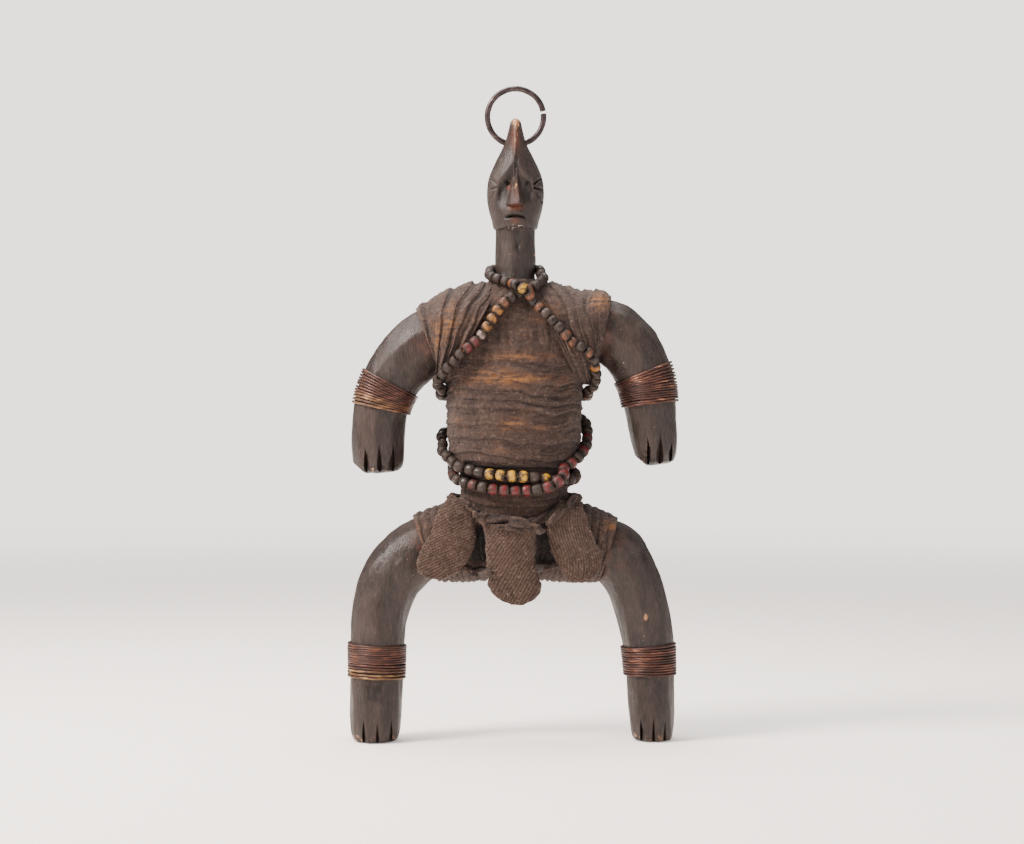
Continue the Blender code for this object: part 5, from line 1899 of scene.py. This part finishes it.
class CakedStrips:
    """Cotton strips stiff with oil, dust and red camwood powder: painted shade in their creases, and dust and
    rust colour on their ridges that is partly painted highlight.
    """

    @staticmethod
    def make() -> bpy.types.Material:
        """Makes the material.

        Returns:
            The material.
        """
        made, nodes, principled = shader("caked_cotton_strips", 0.9)
        place = nodes.out("Mapping", {"Vector": nodes.out("TexCoord", socket="Object")})
        level = nodes.out(
            "Mapping", {"Vector": nodes.out("TexCoord", socket="Object"), "Scale": (1.0, 1.0, 3.0)}
        )
        fibre = nodes.out("TexNoise", {"Vector": level, "Scale": 1300.0, "Detail": 3.0, "Roughness": 0.7})
        lump = nodes.out("TexNoise", {"Vector": place, "Scale": 700.0, "Detail": 4.0, "Roughness": 0.65})
        patch = nodes.out("TexNoise", {"Vector": place, "Scale": 85.0, "Detail": 4.0, "Roughness": 0.62})
        relief = nodes.out("Attribute", attribute_name="relief", socket="Fac")
        base = nodes.out(
            "ValToRGB", {"Fac": fibre}, stops=[(0.3, "#1e1512"), (0.5, "#3d2d27"), (0.7, "#665146")]
        )
        tone = nodes.out(
            "ValToRGB", {"Fac": patch}, stops=[(0.3, "#2b1f1c"), (0.55, "#3f302b"), (0.72, "#4d3d35")]
        )
        base = nodes.out("Mix", {0: 0.45, 6: base, 7: tone}, data_type="RGBA", socket=2)
        # Painted shade: the creases of the strips and the grooves of the twisted rags are darkened by the
        # relief.
        depth = nodes.out(
            "ValToRGB", {"Fac": relief}, stops=[(0.08, "#5a5451"), (0.42, "#b8b2ae"), (0.75, "#fbf8f4")]
        )
        base = nodes.out(
            "Mix", {0: 1.0, 6: base, 7: depth}, data_type="RGBA", blend_type="MULTIPLY", socket=2
        )
        stretched = nodes.out(
            "Mapping", {"Vector": nodes.out("TexCoord", socket="Object"), "Scale": (1.0, 1.0, 2.2)}
        )
        rust_where = nodes.out(
            "TexNoise", {"Vector": stretched, "Scale": 58.0, "Detail": 5.0, "Roughness": 0.66}
        )
        scattered = nodes.out("MapRange", {0: rust_where, 1: 0.54, 2: 0.68, 3: 0.0, 4: 0.22})
        rust_and_highlight_mark = nodes.out("Attribute", attribute_name="rust", socket="Fac")
        rust_and_highlight_here = nodes.out("Math", {0: scattered, 1: rust_and_highlight_mark}, operation="ADD", use_clamp=True)
        stretched = nodes.out(
            "Mapping", {"Vector": nodes.out("TexCoord", socket="Object"), "Scale": (0.6, 0.6, 2.6)}
        )
        drawn_out = nodes.out(
            "TexNoise", {"Vector": stretched, "Scale": 260.0, "Detail": 4.0, "Roughness": 0.65}
        )
        limit = nodes.out("MapRange", {0: drawn_out, 1: 0.4, 2: 0.58})
        rust = nodes.out("Math", {0: rust_and_highlight_here, 1: limit}, operation="MULTIPLY")
        # Painted highlight: the rust colour is kept mostly to the ridges of the folds.
        limit = nodes.out("MapRange", {0: relief, 1: 0.25, 2: 0.75, 3: 0.25, 4: 0.9})
        rust = nodes.out("Math", {0: rust, 1: limit}, operation="MULTIPLY")
        base = nodes.out("Mix", {0: rust, 6: base, 7: linear("#93602f")}, data_type="RGBA", socket=2)
        # Dust colour in patches, kept to the ridges as painted highlight.
        on_ridges = nodes.out("MapRange", {0: relief, 1: 0.45, 2: 0.9, 3: 0.1, 4: 0.55})
        amount = nodes.out("MapRange", {0: lump, 1: 0.54, 2: 0.72})
        dust_and_highlight = nodes.out("Math", {0: amount, 1: on_ridges}, operation="MULTIPLY")
        base = nodes.out("Mix", {0: dust_and_highlight, 6: base, 7: linear("#837166")}, data_type="RGBA", socket=2)
        grit = nodes.out("TexNoise", {"Vector": place, "Scale": 1500.0, "Detail": 2.0, "Roughness": 0.6})
        share = nodes.out("MapRange", {0: grit, 1: 0.68, 2: 0.76, 3: 0.0, 4: 0.55})
        base = nodes.out("Mix", {0: share, 6: base, 7: linear("#8d7d72")}, data_type="RGBA", socket=2)
        # Painted shade: the hollows between the flaps are darkened almost to black.
        soot = nodes.out("Attribute", attribute_name="soot", socket="Fac")
        share = nodes.out("Math", {0: soot, 1: 0.9}, operation="MULTIPLY")
        base = nodes.out("Mix", {0: share, 6: base, 7: linear("#0b0807")}, data_type="RGBA", socket=2)
        nodes.put(principled.inputs["Base Color"], base)
        weave = nodes.out("Bump", {"Height": fibre, "Strength": 1.0, "Distance": 0.6 * MM})
        normal = nodes.out(
            "Bump", {"Height": lump, "Strength": 1.0, "Distance": 0.8 * MM, "Normal": weave}
        )
        nodes.put(principled.inputs["Normal"], normal)
        principled.inputs["Sheen Weight"].default_value = 0.1
        principled.inputs["Specular IOR Level"].default_value = 0.25
        return made


class RibbedCotton:
    """Ribbed cotton, with painted shade between its ribs, greyed by dust on top."""

    @staticmethod
    def make() -> bpy.types.Material:
        """Makes the material.

        Returns:
            The material.
        """
        made, nodes, principled = shader("ribbed_cotton", 0.92)
        place = nodes.out("Mapping", {"Vector": nodes.out("TexCoord", socket="Object")})
        thread = nodes.out(
            "TexNoise", {"Vector": place, "Scale": 1500.0, "Detail": 3.0, "Roughness": 0.7}
        )
        patch = nodes.out("TexNoise", {"Vector": place, "Scale": 100.0, "Detail": 4.0, "Roughness": 0.6})
        ribs = nodes.out("Attribute", attribute_name="rib", socket="Fac")
        # Painted shade between the ribs, from the rib tone.
        base = nodes.out(
            "ValToRGB", {"Fac": ribs}, stops=[(0.1, "#2a1e1a"), (0.5, "#43332c"), (0.95, "#5f4e46")]
        )
        tone = nodes.out(
            "ValToRGB", {"Fac": patch}, stops=[(0.3, "#34251e"), (0.55, "#49372d"), (0.74, "#5d4838")]
        )
        base = nodes.out("Mix", {0: 0.3, 6: base, 7: tone}, data_type="RGBA", socket=2)
        fine = nodes.out("ValToRGB", {"Fac": thread}, stops=[(0.3, "#8a8380"), (0.7, "#ffffff")])
        base = nodes.out(
            "Mix", {0: 1.0, 6: base, 7: fine}, data_type="RGBA", blend_type="MULTIPLY", socket=2
        )
        amount = nodes.out(
            "TexNoise", {"Vector": place, "Scale": 1300.0, "Detail": 2.0, "Roughness": 0.5}
        )
        speck = nodes.out("MapRange", {0: amount, 1: 0.65, 2: 0.74, 3: 0.0, 4: 0.7})
        colour = nodes.out("Mix", {0: speck, 6: base, 7: linear("#8f8174")}, data_type="RGBA", socket=2)
        nodes.put(principled.inputs["Base Color"], colour)
        normal = nodes.out("Bump", {"Height": thread, "Strength": 0.5, "Distance": 0.25 * MM})
        nodes.put(principled.inputs["Normal"], normal)
        principled.inputs["Sheen Weight"].default_value = 0.1
        principled.inputs["Specular IOR Level"].default_value = 0.25
        return made


class TradeGlass:
    """Pressed glass beads, scuffed, and caked with dirt at their ends."""

    @staticmethod
    def make() -> bpy.types.Material:
        """Makes the material.

        Returns:
            The material.
        """
        made, nodes, principled = shader("trade_glass", 0.4)
        place = nodes.out("Mapping", {"Vector": nodes.out("TexCoord", socket="Object")})
        tint = nodes.out("Attribute", attribute_name="tint", socket="Fac")
        glass = nodes.out(
            "ValToRGB", {"Fac": tint},
            stops=[
                (0.0, "#1c1513"), (0.16, "#2a211f"), (0.28, "#3b302c"), (0.36, "#65391f"),
                (0.48, "#8a591f"), (0.56, "#b4871f"), (0.76, "#5c1218"), (0.93, "#84706a"),
            ], interpolation="CONSTANT",
        )
        dirt_where = nodes.out(
            "TexNoise", {"Vector": place, "Scale": 420.0, "Detail": 4.0, "Roughness": 0.65}
        )
        dirt = nodes.out("MapRange", {0: dirt_where, 1: 0.42, 2: 0.6, 3: 0.08, 4: 0.9})
        rim = nodes.out("Attribute", attribute_name="rim", socket="Fac")
        ends = nodes.out("MapRange", {0: rim, 1: 0.3, 2: 0.85, 3: 0.0, 4: 0.85})
        dirt = nodes.out("Math", {0: dirt, 1: ends}, operation="ADD", use_clamp=True)
        pits = nodes.out("TexNoise", {"Vector": place, "Scale": 900.0, "Detail": 4.0, "Roughness": 0.6})
        grime = nodes.out("ValToRGB", {"Fac": pits}, stops=[(0.3, "#120d0c"), (0.7, "#35271f")])
        colour = nodes.out("Mix", {0: dirt, 6: glass, 7: grime}, data_type="RGBA", socket=2)
        nodes.put(principled.inputs["Base Color"], colour)
        rough = nodes.out("MapRange", {0: dirt, 1: 0.1, 2: 0.9, 3: 0.3, 4: 0.72})
        nodes.put(principled.inputs["Roughness"], rough)
        normal = nodes.out("Bump", {"Height": dirt_where, "Strength": 0.6, "Distance": 0.45 * MM})
        nodes.put(principled.inputs["Normal"], normal)
        principled.inputs["Specular IOR Level"].default_value = 0.35
        return made


class CopperWire:
    """Copper wire browned by oil, patchy in tone, with bright streaks along the turns that are painted
    highlights; some turns are brass.
    """

    @staticmethod
    def make() -> bpy.types.Material:
        """Makes the material.

        Returns:
            The material.
        """
        made, nodes, principled = shader("copper_wire", 0.5, 0.5)
        place = nodes.out("Mapping", {"Vector": nodes.out("TexCoord", socket="Object")})
        stretched = nodes.out(
            "Mapping", {"Vector": nodes.out("TexCoord", socket="Object"), "Scale": (0.35, 0.35, 2.2)}
        )
        # Tone stretched along the turns; its brightest streaks are painted highlights.
        tone_and_highlight = nodes.out(
            "TexNoise", {"Vector": stretched, "Scale": 260.0, "Detail": 5.0, "Roughness": 0.7}
        )
        copper = nodes.out(
            "ValToRGB", {"Fac": tone_and_highlight},
            stops=[(0.3, "#1e110e"), (0.48, "#38211b"), (0.6, "#573529"), (0.74, "#a87556")],
        )
        yellow = nodes.out(
            "ValToRGB", {"Fac": tone_and_highlight}, stops=[(0.36, "#3a241c"), (0.5, "#66492f"), (0.66, "#b3925f")]
        )
        brass = nodes.out("Attribute", attribute_name="brass", socket="Fac")
        colour = nodes.out("Mix", {0: brass, 6: copper, 7: yellow}, data_type="RGBA", socket=2)
        nodes.put(principled.inputs["Base Color"], colour)
        rough = nodes.out("MapRange", {0: tone_and_highlight, 1: 0.3, 2: 0.7, 3: 0.6, 4: 0.32})
        nodes.put(principled.inputs["Roughness"], rough)
        pits = nodes.out("TexNoise", {"Vector": place, "Scale": 900.0, "Detail": 4.0, "Roughness": 0.6})
        normal = nodes.out("Bump", {"Height": pits, "Strength": 0.2, "Distance": 0.15 * MM})
        nodes.put(principled.inputs["Normal"], normal)
        return made


class ForgedIron:
    """Forged iron, dark and satin from handling."""

    @staticmethod
    def make() -> bpy.types.Material:
        """Makes the material.

        Returns:
            The material.
        """
        made, nodes, principled = shader("forged_iron", 0.42, 0.75)
        place = nodes.out("Mapping", {"Vector": nodes.out("TexCoord", socket="Object")})
        scale = nodes.out("TexNoise", {"Vector": place, "Scale": 260.0, "Detail": 5.0, "Roughness": 0.6})
        colour = nodes.out(
            "ValToRGB", {"Fac": scale}, stops=[(0.3, "#221c1c"), (0.52, "#3a3132"), (0.72, "#5a4d4a")]
        )
        nodes.put(principled.inputs["Base Color"], colour)
        rough = nodes.out("MapRange", {0: scale, 1: 0.3, 2: 0.7, 3: 0.52, 4: 0.34})
        nodes.put(principled.inputs["Roughness"], rough)
        pits = nodes.out("TexNoise", {"Vector": place, "Scale": 700.0, "Detail": 4.0, "Roughness": 0.6})
        normal = nodes.out("Bump", {"Height": pits, "Strength": 0.3, "Distance": 0.2 * MM})
        nodes.put(principled.inputs["Normal"], normal)
        return made


def attach(piece: bpy.types.Object, node: str, finish: bpy.types.Material) -> None:
    """Gives a piece its finish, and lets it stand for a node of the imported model.

    Args:
        piece: the finished piece.
        node: the node that it stands for.
        finish: its material.
    """
    piece.data.materials.clear()
    piece.data.materials.append(finish)
    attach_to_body(piece, "root")
    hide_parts(node)
    LOG.info("%s stands for %s: %d faces", piece.name, node, len(piece.data.polygons))


class Doll:
    """The whole doll, piece by piece."""

    WINDINGS = (
        (WireWinding("right_wrist_copper", RIGHT_ARM, 2.87, 4.06, 12, 0.32), "right_wrist_wire"),
        (WireWinding("left_wrist_copper", LEFT_ARM, 3.67, 5.13, 14, 0.0), "left_wrist_wire"),
        (WireWinding("right_ankle_copper", RIGHT_LEG, 5.10, 6.38, 14, 0.2), "right_ankle_wire"),
        (WireWinding("left_ankle_copper", LEFT_LEG, 5.24, 6.28, 12, 0.0), "left_ankle_wire"),
    )
    STRINGS = (
        BeadString("chest_beads", CHEST_ROUTE, 5.3, 4.7, CHEST_ACCENTS, 71, 10),
        BeadString("yellow_waist_beads", YELLOW_ROUTE, 5.8, 5.4, YELLOW_ACCENTS, 72),
        BeadString("red_waist_beads", RED_ROUTE, 5.8, 5.4, RED_ACCENTS, 73),
    )
    RAGS = (
        (((-16.5, 110.2), (-12.0, 107.6), (-4.0, 106.4), (4.0, 105.0), (9.5, 102.8), (13.0, 101.0)), 2.4, 90),
        (((-25.5, 117.5), (-22.0, 114.0), (-18.0, 109.4), (-14.0, 104.6)), 1.7, 60),
        (((29.5, 118.0), (25.0, 113.4), (20.0, 108.6), (15.2, 104.2)), 1.7, 60),
        (((-9.0, 103.6), (-3.0, 103.4), (4.0, 101.6)), 1.3, 12),
        (((-24.0, 82.6), (-17.0, 81.0), (-10.5, 82.4)), 1.8, 14),
        (((10.0, 84.4), (15.0, 83.6), (20.5, 84.6)), 1.6, 10),
    )
    FLAPS = (
        (RibbedFlap("right_ribbed_flap", RIGHT_FLAP, -1.1, 81), "right_flap"),
        (RibbedFlap("middle_ribbed_flap", MIDDLE_FLAP, -0.62, 82), "middle_flap"),
        (RibbedFlap("left_ribbed_flap", LEFT_FLAP, 0.0, 83, 1.3), "left_flap"),
    )

    def build(self) -> None:
        """Makes every piece."""
        figure = CarvedFigure().build()
        attach(figure, "carved_figure", OiledWood.make())
        attach(CrestRing().build(), "crest_ring", ForgedIron.make())
        strips = CakedStrips.make()
        torso = TorsoWrapping().build()
        right = ShoulderWrapping("right_shoulder_cloth", RIGHT_ARM, -1, 32).build()
        left = ShoulderWrapping("left_shoulder_cloth", LEFT_ARM, 1, 33).build()
        hips = HipWrapping().build()
        for piece, node in (
            (torso, "torso_wrapping"), (right, "right_shoulder_wrapping"),
            (left, "left_shoulder_wrapping"), (hips, "hip_wrapping"),
        ):
            attach(piece, node, strips)
        surface = Surface([figure, torso, right, left, hips])
        self.add_strings(surface)
        places = surface.lay(BELT_ROUTE, 1.9, steps=2)
        bare_belt = RagBelt().build(places, [])
        flaps = self.add_flaps(Surface([torso, hips, bare_belt]))
        dressed = Surface([hips, bare_belt, *flaps])
        bpy.data.objects.remove(bare_belt)
        belt = RagBelt().build(places, [dressed.draped_rag(*rag) for rag in self.RAGS])
        attach(belt, "rag_belt", strips)
        wires, copper = wire_group(), CopperWire.make()
        for winding, node in self.WINDINGS:
            attach(winding.build(wires, copper), node, copper)

    def add_strings(self, surface: Surface) -> None:
        """The three bead strings, each over what it crosses.

        Args:
            surface: what they lie on.
        """
        glass, group, bead = TradeGlass.make(), bead_group(), bead_mesh()
        chest, yellow, red = self.STRINGS
        chest_places = surface.lay(chest.route, chest.diameter / 2, crossing=chest.crossing)
        yellow_places = surface.lay(yellow.route, yellow.diameter / 2)
        red_places = surface.lay(red.route, red.diameter / 2, over=yellow_places)
        for beads, places, node in (
            (chest, chest_places, "chest_bead_string"),
            (yellow, yellow_places, "upper_waist_bead_string"),
            (red, red_places, "lower_waist_bead_string"),
        ):
            attach(beads.build(places, group, glass, bead), node, glass)
        bpy.data.objects.remove(bead)

    def add_flaps(self, surface: Surface) -> list:
        """The three flaps, each a hung sheet.

        Args:
            surface: what they lie on.

        Returns:
            The flaps.
        """
        twill = RibbedCotton.make()
        flaps = []
        for cut, node in self.FLAPS:
            flap = cut.build(surface)
            attach(flap, node, twill)
            flaps.append(flap)
        return flaps


@dataclass(frozen=True)
class Lamp:
    """A soft square lamp that shines on the doll's middle: where it stands, its side, watts and tone."""

    name: str
    place: tuple
    size: float
    power: float
    tone: str

    def add(self) -> None:
        """Adds the lamp to the scene."""
        lamp = bpy.data.lights.new(self.name, "AREA")
        lamp.size = self.size
        lamp.energy = self.power
        lamp.color = linear(self.tone)[:3]
        light = bpy.data.objects.new(self.name, lamp)
        light.location = self.place
        aim = Vector((0.0, 0.0, 0.16)) - light.location
        light.rotation_euler = aim.to_track_quat("-Z", "Y").to_euler()
        light.visible_camera = False
        bpy.context.scene.collection.objects.link(light)


@dataclass(frozen=True)
class Studio:
    """The camera, the pale floor and soft daylight."""

    camera_place: tuple = (-0.0006, -1.1, 0.1531)
    lens: float = 79.6
    daylight: float = 0.5
    lamps: tuple = (
        Lamp("key", (-0.95, -0.5, 1.05), 0.5, 52.0, "#fff2ea"),
        Lamp("fill", (0.95, -0.9, 0.5), 0.9, 6.0, "#fff6f4"),
        Lamp("top", (-0.1, 0.12, 0.95), 0.7, 16.0, "#fffaf6"),
    )

    def build(self) -> None:
        """Sets the studio up."""
        scene = bpy.context.scene
        floor = self.pale_floor()
        scene.collection.objects.link(floor)
        camera = bpy.data.objects.new("camera", bpy.data.cameras.new("camera"))
        scene.collection.objects.link(camera)
        camera.location = self.camera_place
        camera.rotation_euler = (math.pi / 2, 0.0, 0.0)
        camera.data.sensor_width = 36.0
        camera.data.lens = self.lens
        scene.camera = camera
        for lamp in self.lamps:
            lamp.add()
        scene.world = self.surroundings()

    def pale_floor(self) -> bpy.types.Object:
        """Makes a wide paper floor that grows as pale as the distance away from the doll.

        Returns:
            The floor.
        """
        radii = (0.0, 0.35, 0.6, 0.9, 1.3, 1.8, 2.4, 3.2, 60.0)
        sides = 64
        turns = circle(sides)
        points = [(r * math.cos(a), r * math.sin(a), -0.0004) for r in radii for a in turns]
        faces = grid_faces(len(radii), sides)[:, ::-1]
        mesh = bpy.data.meshes.new("floor")
        mesh.from_pydata(points, [], faces.tolist())
        far = np.repeat(ramp(np.array(radii), 0.35, 2.2), sides)
        mesh.attributes.new("far", "FLOAT", "POINT").data.foreach_set("value", far.astype(np.float32))
        paper, nodes, principled = shader("pale_paper", 0.95)
        away = nodes.out("Attribute", attribute_name="far", socket="Fac")
        base = nodes.out(
            "Mix", {0: away, 6: linear("#f8f2ed"), 7: linear("#000000")}, data_type="RGBA", socket=2
        )
        glow = nodes.out("Mix", {0: away, 6: linear("#545150"), 7: DISTANCE}, data_type="RGBA", socket=2)
        nodes.put(principled.inputs["Base Color"], base)
        nodes.put(principled.inputs["Emission Color"], glow)
        principled.inputs["Emission Strength"].default_value = DISTANCE_GLOW
        principled.inputs["Specular IOR Level"].default_value = 0.0
        mesh.materials.append(paper)
        return bpy.data.objects.new("floor", mesh)

    def surroundings(self) -> bpy.types.World:
        """Makes the even daylight, and the pale distance that the camera sees.

        Returns:
            The world.
        """
        world = bpy.data.worlds.new("daylight")
        world.use_nodes = True
        tree = world.node_tree
        shine = tree.nodes["Background"]
        shine.inputs["Color"].default_value = linear("#f2efec")
        shine.inputs["Strength"].default_value = self.daylight
        nodes = NodeTree(tree)
        seen = nodes.add("ShaderNodeBackground", {"Color": DISTANCE, "Strength": DISTANCE_GLOW})
        rays = nodes.add("ShaderNodeLightPath").outputs["Is Camera Ray"]
        either = nodes.add("ShaderNodeMixShader", {0: rays, 1: shine.outputs[0], 2: seen.outputs[0]})
        nodes.put(tree.nodes["World Output"].inputs["Surface"], either.outputs[0])
        return world


def main() -> None:
    """Builds the doll in its studio."""
    logging.basicConfig(level=logging.INFO)
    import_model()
    Studio().build()
    Doll().build()


if __name__ == "__main__":
    main()
